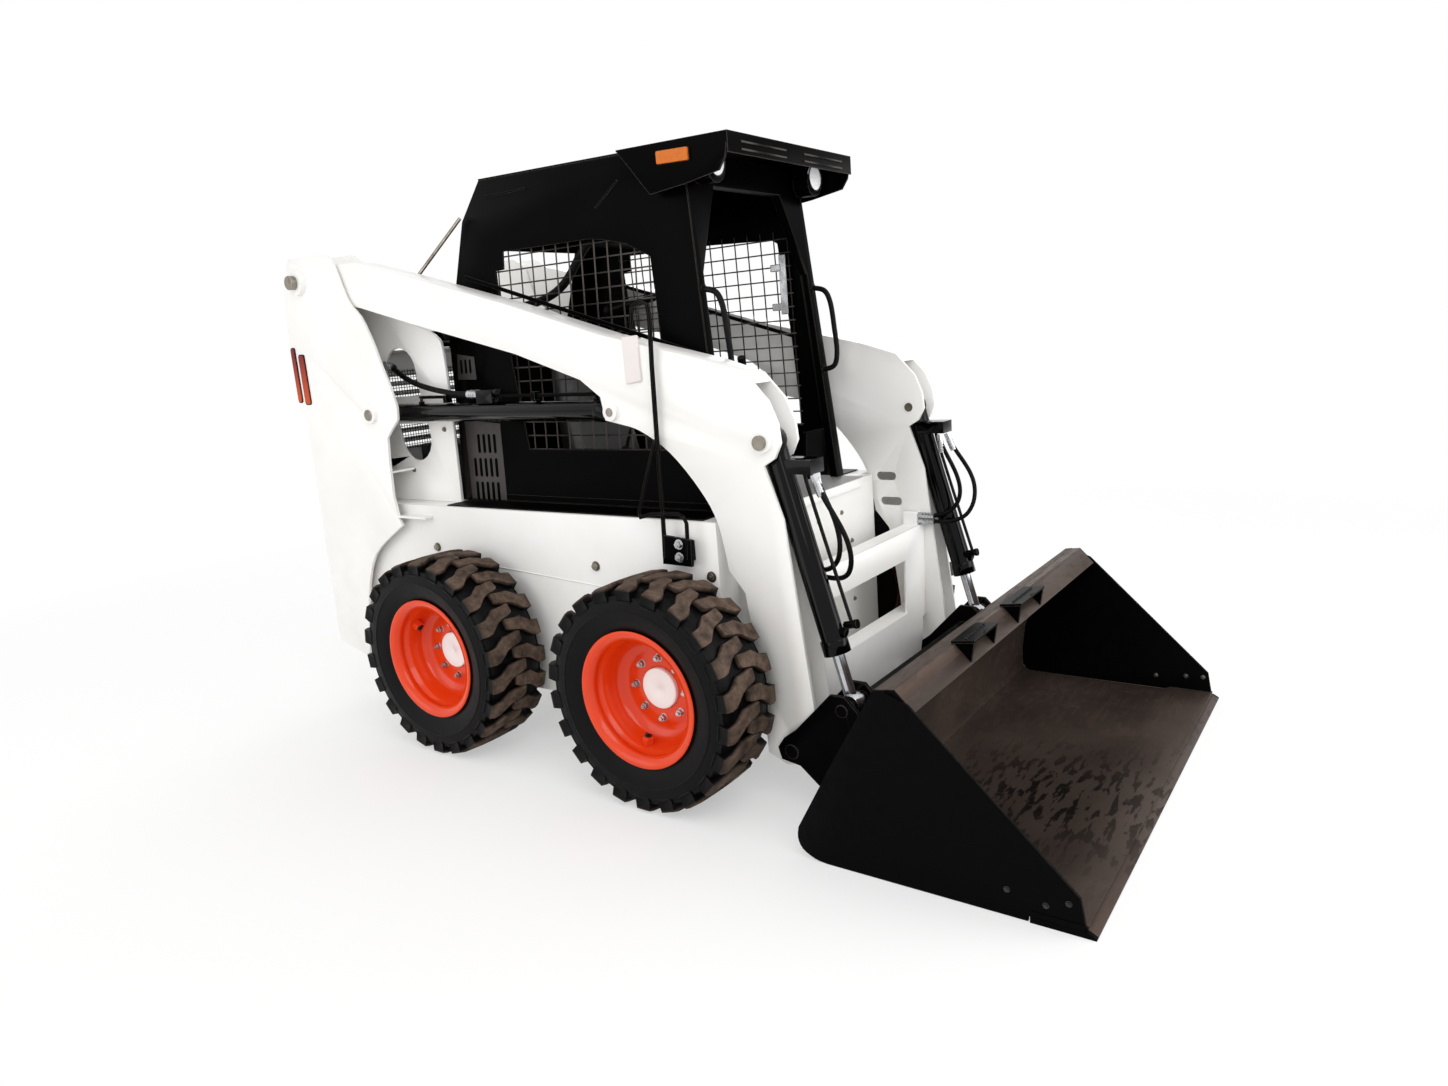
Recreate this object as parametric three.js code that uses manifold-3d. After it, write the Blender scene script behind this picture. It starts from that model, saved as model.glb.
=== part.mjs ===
// Skid steer loader, radius-lift arms, with a general-purpose bucket.
// Units are millimetres.  +X is the machine's left, -Y its front, +Z is up and z = 0 is the ground.
// Lengths along Y are counted from the front axle and the whole group is then centred.
import * as THREE from 'three';
import Module from 'manifold-3d';

const wasm = await Module();
wasm.setup();

// ---------------------------------------------------------------- driving sizes
const GAP = 0.3;                    // gap between pieces that touch
const RUN = 6;                      // clearance beside a moving piece
const Y_CENTRE = -290;              // puts the middle of the overall length at y = 0

const WHEELBASE = 1025;
const TYRE_R = 381;
const TYRE_W = 264;
const TYRE_IN = 608;                // inner side of the tyre, from the middle plane
const RIM_R = 231;                  // outside of the rim flange
const BEAD_INSET = 22;             // how far the bead sits in from the sidewall
const BEAD_R = 212;
const DISC_X = 722;                 // outer face of the wheel disc
const CAP_X = 738;                  // outer face of the hub cap
const HUB_R = 70;
const SPINDLE_R = 30;

const FRAME_X = 560;                // outside of the lower frame
const FRAME_LOW = 205;
const LEDGE_Z = 908;
const FRAME_T = 8;
const TUB_X = 404;                  // inner walls of the frame
const FRAME_FRONT = -205;
const NOSE_X = 448;                  // half width of the frame's front plate
const FRAME_REAR = 1930;

const UP_OUT = 600;                 // outside of the upright's outer plate
const UP_IN = 450;                  // inner face of its inner plate
const UP_T = 12;
const HOOD_X = 362;                 // half width of the hood, between fixed side decks

const ARM_OUT = 580;
const ARM_IN = 468;
const ARM_T = 12;
const CYL_X = 524;                  // plane of all four cylinders

const PIVOT = [1888, 1841];         // [y, z] of the arm pivot
const PIVOT_PIN_R = 28;
const LIFT_BASE = [1519, 1284];
const LIFT_EYE = [229, 1273];
const TILT_TOP = [-364, 1172];
const TILT_EYE = [-600, 352];
const HINGE = [-412, 183];          // carrier pivot at the foot of the arms

const LIFT_BARREL_R = 36;
const LIFT_ROD_R = 20;
const TILT_BARREL_R = 39;
const TILT_ROD_R = 20;
const EYE_W = 54;

const CAB_T = 6;
const CAB_FOOT_X = 415;             // outside of the cab's sides where they stand on the ledge
const CAB_LEAN = 0.044;             // how far the sides lean in, per unit of height
const CAB_FRONT_FOOT = -95;
const CAB_FRONT_LEAN = 0.094;       // how far the front leans back, per unit of height
const BUCKET_X = 868;
const BUCKET_T = 10;
const EDGE_T = 16;
const SEGMENTS = 16;

// ---------------------------------------------------------------- materials
const paint = (color, roughness, metalness = 0) => new THREE.MeshStandardMaterial({ color, roughness, metalness });
const WHITE = paint('#ecebe6', 0.35);
const BLACK = paint('#17181a', 0.5);
const ORANGE = paint('#e2401f', 0.4);
const TYRE = paint('#1d1c1b', 0.85);
const CHROME = paint('#c9ccd0', 0.15, 1);
const SILVER = paint('#a9adb0', 0.35, 1);
const STEEL = paint('#3d3935', 0.55, 0.8);
const SEAT = paint('#202022', 0.7);
const RUBBER = paint('#151515', 0.7);
const IRON = paint('#55585a', 0.6, 0.6);
const LAMP = paint('#dfe3e6', 0.1);

// ---------------------------------------------------------------- solids
const quantise = (value) => Math.round(value * 1e3) / 1e3;

/** A closed manifold solid from any closed three.js geometry. */
function solid(geometry) {
  const source = geometry.index ? geometry.toNonIndexed() : geometry;
  const position = source.attributes.position;
  const seen = new Map();
  const points = [];
  const corners = [];
  for (let i = 0; i < position.count; i += 1) {
    const p = [quantise(position.getX(i)), quantise(position.getY(i)), quantise(position.getZ(i))];
    const key = p.join();
    if (!seen.has(key)) {
      seen.set(key, points.length / 3);
      points.push(...p);
    }
    corners.push(seen.get(key));
  }
  const faces = [];
  for (let i = 0; i < corners.length; i += 3) {
    const [a, b, c] = [corners[i], corners[i + 1], corners[i + 2]];
    if (a !== b && b !== c && c !== a) faces.push(a, b, c);
  }
  return new wasm.Manifold(new wasm.Mesh({
    numProp: 3,
    vertProperties: new Float32Array(points),
    triVerts: new Uint32Array(faces),
  }));
}

/** Joins solids into one. */
const join = (...solids) => solids.flat().reduce((all, one) => all.add(one));

/** Takes the cutters out of a solid. */
const cut = (body, ...cutters) => cutters.flat().reduce((rest, one) => rest.subtract(one), body);

/** A box between two limits on each axis. */
function block(x0, x1, y0, y1, z0, z1) {
  const box = new THREE.BoxGeometry(Math.abs(x1 - x0), Math.abs(y1 - y0), Math.abs(z1 - z0));
  box.translate((x0 + x1) / 2, (y0 + y1) / 2, (z0 + z1) / 2);
  return solid(box);
}

const SIDE_BASIS = new THREE.Matrix4().makeBasis(
  new THREE.Vector3(0, 1, 0),
  new THREE.Vector3(0, 0, 1),
  new THREE.Vector3(1, 0, 0),
);

const shapeOf = (outline) => new THREE.Shape(outline.map(([u, v]) => new THREE.Vector2(u, v)));

/** A plate with its outline in [y, z] that reaches from x0 to x1. */
function plate(outline, x0, x1) {
  const depth = Math.abs(x1 - x0);
  const geometry = new THREE.ExtrudeGeometry(shapeOf(outline), { depth, bevelEnabled: false });
  geometry.applyMatrix4(SIDE_BASIS);
  geometry.translate(Math.min(x0, x1), 0, 0);
  return solid(geometry);
}

/** A plate with its outline in [x, z] that reaches from y0 to y1. */
function wall(outline, y0, y1) {
  const geometry = new THREE.ExtrudeGeometry(shapeOf(outline), { depth: Math.abs(y1 - y0), bevelEnabled: false });
  geometry.rotateX(Math.PI / 2);
  geometry.translate(0, Math.max(y0, y1), 0);
  return solid(geometry);
}

/** A round bar between two points. */
function bar(from, to, radius, segments = SEGMENTS, endRadius = radius) {
  const a = new THREE.Vector3(...from);
  const b = new THREE.Vector3(...to);
  const along = b.clone().sub(a);
  const geometry = new THREE.CylinderGeometry(endRadius, radius, along.length(), segments);
  geometry.applyQuaternion(new THREE.Quaternion().setFromUnitVectors(new THREE.Vector3(0, 1, 0), along.normalize()));
  const middle = a.add(b).multiplyScalar(0.5);
  geometry.translate(middle.x, middle.y, middle.z);
  return solid(geometry);
}

/** A round bar along X at [y, z]. */
const crossBar = ([y, z], x0, x1, radius, segments = SEGMENTS) => bar([x0, y, z], [x1, y, z], radius, segments);

/** A bent round tube or rod through points. */
function tube(points, radius, sides = 8, steps = 24, tension = 0.5) {
  const curve = new THREE.CatmullRomCurve3(points.map((p) => new THREE.Vector3(...p)), false, 'catmullrom', tension);
  const ring = [];
  for (let i = 0; i < sides; i += 1) {
    const turn = (2 * Math.PI * (i + 0.5)) / sides;
    ring.push([radius * Math.cos(turn), radius * Math.sin(turn)]);
  }
  return solid(new THREE.ExtrudeGeometry(shapeOf(ring), { steps, bevelEnabled: false, extrudePath: curve }));
}

/** A solid of revolution about X through [y, z]; the profile is [radius, x]. */
function spin(profile, [y, z], segments) {
  const geometry = new THREE.LatheGeometry(profile.map(([r, x]) => new THREE.Vector2(r, x)), segments);
  geometry.rotateZ(-Math.PI / 2);
  geometry.translate(0, y, z);
  const made = solid(geometry);
  return made.volume() > 0 ? made : solid(flipped(geometry));
}

/** The same geometry with its faces turned over. */
function flipped(geometry) {
  const plain = geometry.index ? geometry.toNonIndexed() : geometry.clone();
  const p = plain.attributes.position;
  for (let i = 0; i < p.count; i += 3) {
    const [x, y, z] = [p.getX(i), p.getY(i), p.getZ(i)];
    p.setXYZ(i, p.getX(i + 1), p.getY(i + 1), p.getZ(i + 1));
    p.setXYZ(i + 1, x, y, z);
  }
  return plain;
}

/** A closed outline made of the outer points and their offset by t: a bent sheet seen on edge. */
function bentSheet(points, t) {
  const inner = points.map((point, i) => {
    const before = points[Math.max(i - 1, 0)];
    const after = points[Math.min(i + 1, points.length - 1)];
    const a = new THREE.Vector2(point[0] - before[0], point[1] - before[1]);
    const b = new THREE.Vector2(after[0] - point[0], after[1] - point[1]);
    if (a.length() === 0) a.copy(b);
    if (b.length() === 0) b.copy(a);
    a.normalize();
    b.normalize();
    const normal = new THREE.Vector2(-(a.y + b.y), a.x + b.x).normalize();
    const reach = t / Math.max(0.3, normal.dot(new THREE.Vector2(-a.y, a.x)));
    return [point[0] + normal.x * reach, point[1] + normal.y * reach];
  });
  return [...points, ...inner.reverse()];
}

/** Points on an arc about a centre, angles in degrees. */
function arc([cy, cz], radius, from, to, count) {
  return Array.from({ length: count + 1 }, (_, i) => {
    const turn = ((from + ((to - from) * i) / count) * Math.PI) / 180;
    return [cy + radius * Math.cos(turn), cz + radius * Math.sin(turn)];
  });
}

/** The outline given, with a smooth curve through the points from number `first` to number `last`. */
function smoothed(points, first, last, steps = 4) {
  const curve = new THREE.SplineCurve(points.slice(first, last + 1).map(([u, v]) => new THREE.Vector2(u, v)));
  const through = curve.getPoints((last - first) * steps).map(({ x, y }) => [x, y]);
  return [...points.slice(0, first), ...through, ...points.slice(last + 1)];
}

/** The radius of a bore in which a polygonal shaft turns freely. */
const bore = (radius, segments = SEGMENTS) => (radius + 0.05) / Math.cos(Math.PI / segments);

/** A point a length along the line from a to b. */
function towards(a, b, length) {
  const reach = Math.hypot(b[0] - a[0], b[1] - a[1]);
  return [a[0] + ((b[0] - a[0]) * length) / reach, a[1] + ((b[1] - a[1]) * length) / reach];
}

// ---------------------------------------------------------------- assembly
const group = new THREE.Group();
group.name = 'skid_steer_loader';
group.position.y = Y_CENTRE;

/** Adds one finished solid as a named node. */
function add(name, body, material) {
  const mesh = body.simplify(0.02).getMesh();
  const geometry = new THREE.BufferGeometry();
  const positions = new Float32Array(mesh.numVert * 3);
  for (let i = 0; i < mesh.numVert; i += 1) {
    positions.set(mesh.vertProperties.slice(i * mesh.numProp, i * mesh.numProp + 3), i * 3);
  }
  geometry.setAttribute('position', new THREE.BufferAttribute(positions, 3));
  geometry.setIndex(new THREE.BufferAttribute(new Uint32Array(mesh.triVerts), 1));
  geometry.computeVertexNormals();
  const node = new THREE.Mesh(geometry, material);
  node.name = name;
  group.add(node);
}

const SIDES = [['right', -1], ['left', 1]];
const mirror = (body, side) => (side > 0 ? body : body.mirror([1, 0, 0]));

// ---------------------------------------------------------------- wheels (left-hand ones, mirrored for the right)
function tyre(centre) {
  const out = TYRE_IN + TYRE_W;
  const half = [
    [BEAD_R, BEAD_INSET], [RIM_R + 9, BEAD_INSET], [TYRE_R - 90, 0], [TYRE_R - 26, 12], [TYRE_R, 34],
  ];
  const lining = [[TYRE_R - 46, 26], [BEAD_R, 44]];
  const profile = [
    ...half.map(([r, x]) => [r, TYRE_IN + x]),
    ...[...half].reverse().map(([r, x]) => [r, out - x]),
    ...[...lining].reverse().map(([r, x]) => [r, out - x]),
    ...lining.map(([r, x]) => [r, TYRE_IN + x]),
  ];
  return spin([...profile, profile[0]], centre, 32);
}

function rim(centre) {
  const seat = BEAD_R * Math.cos(Math.PI / 32) - GAP;
  const well = seat - 10;
  const inner = TYRE_IN + BEAD_INSET - GAP;
  const outer = TYRE_IN + TYRE_W - BEAD_INSET + GAP;
  const profile = [
    [seat, inner], [RIM_R, inner], [RIM_R, inner - 8], [well, inner - 8],
    [well, DISC_X - 12], [HUB_R + GAP, DISC_X - 12], [HUB_R + GAP, DISC_X], [well, DISC_X],
    [well, outer + 8], [RIM_R, outer + 8], [RIM_R, outer], [seat, outer],
  ];
  return spin([...profile, profile[0]], centre, 24);
}

function hub(centre) {
  const profile = [
    [bore(SPINDLE_R, 24), 652], [HUB_R - 8, 652], [HUB_R, 664], [HUB_R, CAP_X - 6],
    [HUB_R - 6, CAP_X], [0, CAP_X], [0, CAP_X - 12], [bore(SPINDLE_R, 24), CAP_X - 12],
  ];
  return spin([...profile, profile[0]], centre, 24);
}

function axle(centre) {
  const profile = [
    [0, FRAME_X + GAP], [95, FRAME_X + GAP], [95, FRAME_X + 18], [58, FRAME_X + 24],
    [52, 646], [SPINDLE_R, 646], [SPINDLE_R, CAP_X - 20], [0, CAP_X - 20],
  ];
  return spin([...profile, profile[0]], centre, 24);
}

for (const [place, y] of [['front', 0], ['rear', WHEELBASE]]) {
  for (const [name, side] of SIDES) {
    const centre = [y, TYRE_R];
    add(`tyre_${place}_${name}`, mirror(tyre(centre), side), TYRE);
    add(`rim_${place}_${name}`, mirror(rim(centre), side), ORANGE);
    add(`hub_${place}_${name}`, mirror(hub(centre), side), WHITE);
    add(`axle_${place}_${name}`, mirror(axle(centre), side), BLACK);
  }
}

// ---------------------------------------------------------------- lower frame
function lowerFrame() {
  const narrow = -150;
  const parts = [
    block(-FRAME_X, FRAME_X, narrow, FRAME_REAR, FRAME_LOW, FRAME_LOW + 10),
    block(-NOSE_X, NOSE_X, FRAME_FRONT, narrow, FRAME_LOW, FRAME_LOW + 10),
    block(-NOSE_X, NOSE_X, FRAME_FRONT, FRAME_FRONT + FRAME_T, FRAME_LOW, LEDGE_Z),
    block(-FRAME_X, FRAME_X, FRAME_REAR - FRAME_T, FRAME_REAR, FRAME_LOW, 330),
    block(-TUB_X, TUB_X, 1236, 1244, FRAME_LOW, 700),
  ];
  for (const side of [-1, 1]) {
    parts.push(block(side * (FRAME_X - FRAME_T), side * FRAME_X, narrow, FRAME_REAR, FRAME_LOW, LEDGE_Z));
    parts.push(block(side * TUB_X, side * FRAME_X, narrow, FRAME_REAR, LEDGE_Z - FRAME_T, LEDGE_Z));
    parts.push(block(side * TUB_X, side * FRAME_X, narrow, narrow + FRAME_T, FRAME_LOW, LEDGE_Z));
    parts.push(block(side * TUB_X, side * (TUB_X + FRAME_T), FRAME_FRONT, FRAME_REAR, FRAME_LOW, LEDGE_Z));
    parts.push(block(side * (NOSE_X - FRAME_T), side * NOSE_X, FRAME_FRONT, narrow + FRAME_T, FRAME_LOW, LEDGE_Z));
  }
  return join(parts);
}
add('lower_frame', lowerFrame(), WHITE);

// ---------------------------------------------------------------- uprights
const UPRIGHT_OUTLINE = smoothed(smoothed([
  [2003, 259], [1987, 1304], [1966, 1905], [1940, 1940], [1700, 1936], [1640, 1905], [1575, 1748],
  [1502, 1676], [1446, 1568], [1410, 1470], [1376, 1390], [1352, 1314], [1358, 1262], [1400, 1226], [1440, 1190],
  [1452, 1080], [1457, 946], [1440, 852], [1424, 826], [1600, 720], [1684, 621], [1747, 447], [1791, 229],
  [1818, 213],
], 18, 22), 4, 10, 3);
const UPRIGHT_INNER = smoothed([
  [1990, LEDGE_Z + GAP], [1987, 1304], [1966, 1905], [1940, 1940], [1700, 1936], [1640, 1905], [1585, 1748],
  [1540, 1700], [1420, 1650], [1272, 1600], [1222, 1572], [1198, 1525], [1192, 1300], [1200, LEDGE_Z + GAP],
], 5, 12, 3);

function upright() {
  const rearSheet = bentSheet([[1818, 213], [2003, 259], [1987, 1304], [1966, 1905]], 10);
  const upper = [...arc([1480, 1446], 98, 0, 180, 10), [1370, 1345], [1562, 1345]];
  const lower = [[1547, 1232], [1346, 1232], ...arc([1437, 1175], 98, 180, 360, 10)];
  const body = join(
    plate(UPRIGHT_OUTLINE, UP_OUT - UP_T, UP_OUT),
    plate(UPRIGHT_INNER, UP_IN, UP_IN + UP_T),
    plate(rearSheet, FRAME_X + GAP, UP_OUT),
    plate(rearSheet, UP_IN, UP_OUT).intersect(block(UP_IN, UP_OUT, 1900, 2100, 340, 2000)),
    block(FRAME_X + GAP, UP_OUT, 1272, 1460, 858, 866),
    block(UP_IN, UP_OUT - UP_T, 1470, 1980, 1040, 1048),
    plate([[1985, 1290], [2027, 1300], [2027, 1650], [1990, 1880], [1960, 1880]], 540, UP_OUT),
    plate(bentSheet([[1962, 1560], [1930, 1640], [1345, 1640], [1318, 1600]], 5), HOOD_X + RUN, UP_IN + 1),
    crossBar(LIFT_BASE, UP_OUT - 1, UP_OUT + 16, 34),
    crossBar(LIFT_BASE, UP_IN + 1, UP_OUT + 22, 22),
    crossBar(PIVOT, UP_OUT - 1, UP_OUT + 22, 52),
    crossBar(PIVOT, UP_IN + 1, UP_OUT + 48, PIVOT_PIN_R),
  );
  return cut(body, plate(upper, UP_IN - 1, UP_IN + UP_T + 1), plate(lower, UP_IN - 1, UP_IN + UP_T + 1));
}
const DOOR_PIN = [-452, 2016];      // [x, y] of the rear door's hinge line
const DOOR_HINGE_Z = [560, 1300];
const DOOR_KNUCKLE_R = 12.5;

/** The lugs and pins on which the rear door hangs, on the right-hand upright. */
function doorLugs() {
  return DOOR_HINGE_Z.map((z) => join(
    block(DOOR_PIN[0] - 40, DOOR_PIN[0] + 12, 1980, DOOR_PIN[1] + 12, z - 16, z),
    bar([...DOOR_PIN, z - 4], [...DOOR_PIN, z + 44], 8),
  ));
}

add('upright_right', join(mirror(upright(), -1), doorLugs()), WHITE);
add('upright_left', upright(), WHITE);

// ---------------------------------------------------------------- engine bay
const HOOD_PIVOT = [1282, 1546];

function hood() {
  const x = HOOD_X;
  const sheet = bentSheet([[1962, 1560], [1930, 1640], [1340, 1640], [1268, 1530]], 5);
  const slots = [];
  for (let i = 0; i < 6; i += 1) slots.push(block(-300, 300, 1360 + 80 * i, 1400 + 80 * i, 1600, 1660));
  return join(
    cut(plate(sheet, -x, x), slots),
    crossBar(HOOD_PIVOT, -UP_IN + GAP, -x + 20, 12, 12),
    crossBar(HOOD_PIVOT, x - 20, UP_IN - GAP, 12, 12),
  );
}
add('hood', hood(), BLACK);

function rearDoor() {
  const shell = cut(
    block(-440, 438, 1938, 1968, 336, 1540),
    block(-428, 426, 1930, 1963, 348, 1528),
  );
  const slots = [];
  for (let i = 0; i < 8; i += 1) slots.push(block(-300, 300, 1950, 1980, 1090 + 44 * i, 1112 + 44 * i));
  const arms = DOOR_HINGE_Z.map((z) => cut(
    join(
      block(-436, -416, 1966, 2024, z + GAP, z + 40),
      block(DOOR_PIN[0], -416, 2008, 2024, z + GAP, z + 40),
      bar([...DOOR_PIN, z + GAP], [...DOOR_PIN, z + 40], DOOR_KNUCKLE_R),
    ),
    bar([...DOOR_PIN, z - 10], [...DOOR_PIN, z + 60], bore(8)),
  ));
  return join(cut(shell, slots), arms);
}
add('rear_door', rearDoor(), WHITE);

function engine() {
  return join(
    block(-300, 300, 1330, 1880, 330, 980),
    block(-220, 220, 1360, 1800, 215.3, 330),
    block(-250, 250, 1400, 1700, 980, 1120),
  );
}
add('engine_block', engine(), IRON);

// ---------------------------------------------------------------- cab
/** The line of the roof's top face. */
const roofTop = (y) => 2106 + (y + 193) * 0.0254;
const ROOF_REAR = [989, roofTop(989)];
const CAB_BACK = [[1100, 2000], [1175, 1747], [1240, 1560], [1228, LEDGE_Z + GAP]];
const cabFrontAt = (z) => CAB_FRONT_FOOT + CAB_FRONT_LEAN * (z - LEDGE_Z);
const cabInnerAt = (z) => CAB_FOOT_X - CAB_T - GAP - CAB_LEAN * (z - LEDGE_Z);

const CAB_SIDE = [
  [CAB_FRONT_FOOT, LEDGE_Z + GAP], ...[...CAB_BACK].reverse(), ROOF_REAR,
  [cabFrontAt(2105), roofTop(cabFrontAt(2105))],
];
const WINDOW = [
  [118, 1120], [827, 1120], [925, 1682], [933, 1799], [889, 1801], [885, 1866], [451, 1862], [381, 1853],
  [275, 1827], [173, 1775], [142, 1471],
];
const WINDOW_LEFT = [
  [78, 1120], [827, 1120], [925, 1682], [933, 1799], [889, 1801], [885, 1866], [451, 1862], [150, 1848],
  [127, 1833], [96, 1479],
];

/** Leans a piece made upright at the cab's foot line in to follow the side. */
function leanSide(body) {
  return body.transform([1, 0, 0, 0, 0, 1, 0, 0, -CAB_LEAN, 0, 1, 0, CAB_LEAN * LEDGE_Z, 0, 0, 1]);
}

/** What lies between the two leaning cab sides. */
function betweenSides(body) {
  const [low, high] = [LEDGE_Z + GAP, 2300];
  const core = wall([
    [-cabInnerAt(low), low], [cabInnerAt(low), low], [cabInnerAt(high), high], [-cabInnerAt(high), high],
  ], -400, 1500);
  return body.intersect(core);
}

function cabSide(window) {
  const sheet = plate(CAB_SIDE, CAB_FOOT_X - CAB_T, CAB_FOOT_X);
  const shelf = block(CAB_FOOT_X - 2, FRAME_X - 14, CAB_FRONT_FOOT + 4, 1190, LEDGE_Z + GAP, LEDGE_Z + 5);
  return join(leanSide(cut(sheet, plate(window, CAB_FOOT_X - CAB_T - 1, CAB_FOOT_X + 1))), shelf);
}

function windowMesh() {
  const grow = 12;
  const x0 = CAB_FOOT_X - CAB_T - GAP - 5;
  const x1 = CAB_FOOT_X - CAB_T - GAP;
  const rods = [];
  for (let i = 0; i < 5; i += 1) {
    const y = 150 + 160 * i;
    rods.push(block(x0, x1, y - 3, y + 3, 1120 - grow, (y < 400 ? 1800 + 0.15 * y : 1862) + grow));
  }
  for (let i = 0; i < 4; i += 1) {
    const z = 1120 + 247 * i;
    rods.push(block(x0, x1, (i === 3 ? 400 : 130) - grow, (i === 0 ? 827 : 900) + grow, z - 3, z + 3));
  }
  return leanSide(join(rods));
}

for (const [name, side] of SIDES) {
  add(`cab_side_${name}`, mirror(cabSide(side < 0 ? WINDOW : WINDOW_LEFT), side), BLACK);
  add(`window_mesh_${name}`, mirror(windowMesh(), side), BLACK);
}

const VISOR_X = 405;
const VISOR_FRONT = -193;
const VISOR_CHEEK = [
  [VISOR_FRONT, roofTop(VISOR_FRONT)], [-180, 2032], [-155, 1997], [-20, 1976], [128, 1962], [214, 2066],
  [258, roofTop(258)],
];

function cabRoof() {
  const over = GAP * 1.2;          // the roof lies on top of the sides
  const top = (y) => [y, roofTop(y) + CAB_T + over];
  const sheet = bentSheet([top(VISOR_FRONT), top(ROOF_REAR[0] + 2), [1106, 2000]], -CAB_T);
  const cap = plate(sheet, -VISOR_X, VISOR_X);
  const rear = wall([[-cabInnerAt(2130) - 7, 1900], [cabInnerAt(2130) + 7, 1900],
    [cabInnerAt(2130) + 7, 2200], [-cabInnerAt(2130) - 7, 2200]], 200, 1200);
  const front = block(-VISOR_X, VISOR_X, VISOR_FRONT - 1, 258, 1900, 2200);
  const cheeks = [-1, 1].map((side) => plate(VISOR_CHEEK.map(([y, z]) => [y, z + 3]),
    side * (VISOR_X - CAB_T), side * VISOR_X));
  const lip = block(-VISOR_X, VISOR_X, VISOR_FRONT, VISOR_FRONT + 5, 2048, roofTop(VISOR_FRONT) + 4);
  const flat = join(cap.intersect(front), cap.intersect(rear));
  const bend = block(-500, 500, ROOF_REAR[0] - 2, 1300, 1900, 2300);
  return join(cut(flat, bend), cheeks, lip);
}
add('cab_roof', cabRoof(), BLACK);

function cabRear() {
  const sheet = bentSheet([ROOF_REAR, ...CAB_BACK], -CAB_T);
  const window = block(-280, 280, 1000, 1300, 1500, 1900);
  return betweenSides(cut(plate(sheet, -CAB_FOOT_X, CAB_FOOT_X), window));
}
add('cab_rear', cabRear(), BLACK);

/** Leans a piece made flat against the cab's front into place. */
function leanFront(body) {
  return body.rotate([(-Math.atan(CAB_FRONT_LEAN) * 180) / Math.PI, 0, 0])
    .translate([0, CAB_FRONT_FOOT, LEDGE_Z + GAP]);
}

function cabFront() {
  const tall = 1186;
  const frame = wall([[-CAB_FOOT_X, 0], [CAB_FOOT_X, 0], [CAB_FOOT_X, tall], [-CAB_FOOT_X, tall]], 0, 36);
  const opening = wall([
    [-366, -10], [366, -10], [340, 800], [210, 1085], [-210, 1085], [-340, 800],
  ], -10, 60);
  return betweenSides(leanFront(cut(frame, opening)));
}
add('cab_front', cabFront(), BLACK);

function cabFloor() {
  return join(
    block(-TUB_X + GAP, TUB_X - GAP, FRAME_FRONT + FRAME_T + GAP, 420, 520, 526),
    block(-TUB_X + GAP, TUB_X - GAP, 414, 420, 520, 820),
    block(-TUB_X + GAP, TUB_X - GAP, 414, 1222, 814, 820),
    block(-TUB_X + GAP, TUB_X - GAP, 1216, 1222, 814, LEDGE_Z - 10),
  );
}
add('cab_floor', cabFloor(), BLACK);

function seat() {
  const cushion = plate([
    [330, 960], [360, 1010], [780, 1000], [800, 820 + GAP], [420, 820 + GAP], [400, 900],
  ], -240, 240);
  const back = plate([[740, 990], [800, 1300], [840, 1560], [900, 1560], [900, 1280], [860, 990]], -230, 230);
  return join(cushion, back);
}
add('seat', seat(), SEAT);

const SEAT_BAR_PIVOT = [1000, 1640];
const SEAT_BAR_END = cabInnerAt(1662);

function seatBar() {
  const arm = (x) => tube([
    [x, 1000, 1640], [x, 900, 1655], [x, 730, 1680], [x, 620, 1730], [x, 520, 1830], [x, 480, 1860],
  ], 16, 6, 8);
  return join(
    arm(-330), arm(330),
    crossBar([485, 1856], -346, 346, 16, 6),
    crossBar(SEAT_BAR_PIVOT, -SEAT_BAR_END, -314, 22, 12),
    crossBar(SEAT_BAR_PIVOT, 314, SEAT_BAR_END, 22, 12),
  );
}
add('seat_bar', seatBar(), BLACK);

function grabHandle() {
  const x = CAB_FOOT_X - 53;
  return leanFront(join(
    tube([
      [x, -6, 745], [x, -50, 742], [x, -80, 690], [x, -82, 515], [x, -60, 445], [x, -6, 430],
    ], 10, 6, 12),
    bar([x, -GAP, 745], [x, -8, 745], 14, 8),
    bar([x, -GAP, 430], [x, -8, 430], 14, 8),
  ));
}
for (const [name, side] of SIDES) add(`grab_handle_${name}`, mirror(grabHandle(), side), BLACK);

function workLight() {
  const y = cabFrontAt(1998);
  return join(
    bar([318, y - 92, 2030], [318, y - 26, 2033], 51, 16),
    block(298, 338, y - 70, y - 40, 2070, roofTop(y - 70)),
  );
}
for (const [name, side] of SIDES) add(`work_light_${name}`, mirror(workLight(), side), LAMP);

// ---------------------------------------------------------------- lift arms
const ARM_TOP = [
  [1531, 1887], [1242, 1813], [708, 1667], [249, 1527], [-165, 1427], [-317, 1378], [-392, 1296],
  [-421, 1228], [-427, 1168], [-404, 1122], [-362, 1098],
];
const ARM_LOW = smoothed([
  [-311, 155], [-300, 400], [-262, 690], [-205, 760], [-175, 910], [-114, 1018], [-4, 1137], [114, 1209],
  [200, 1232], [262, 1245], [276, 1324], [360, 1384], [662, 1486], [1193, 1622], [1522, 1711],
], 3, 8);
const ARM_OUTLINE = [
  ...arc(PIVOT, 62, -76, 104, 8),
  ...ARM_TOP,
  [-420, 935], [-501, 256], [-480, 200], [-440, 140], [-380, 125],
  ...ARM_LOW,
];

const ARM_POCKET = [
  [1760, 1780], [1531, 1872], [1242, 1799], [708, 1653], [249, 1513], [-165, 1413], [-310, 1364],
  [-470, 1290], [-560, 1100], [-560, 100], [-331, 100], [-312, 400], [-274, 690], [-217, 766], [-187, 914],
  [-124, 1028], [-12, 1148], [60, 1190], [60, 1100], [420, 1100], [420, 1418], [662, 1500], [1193, 1636],
  [1522, 1725],
];

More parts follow.
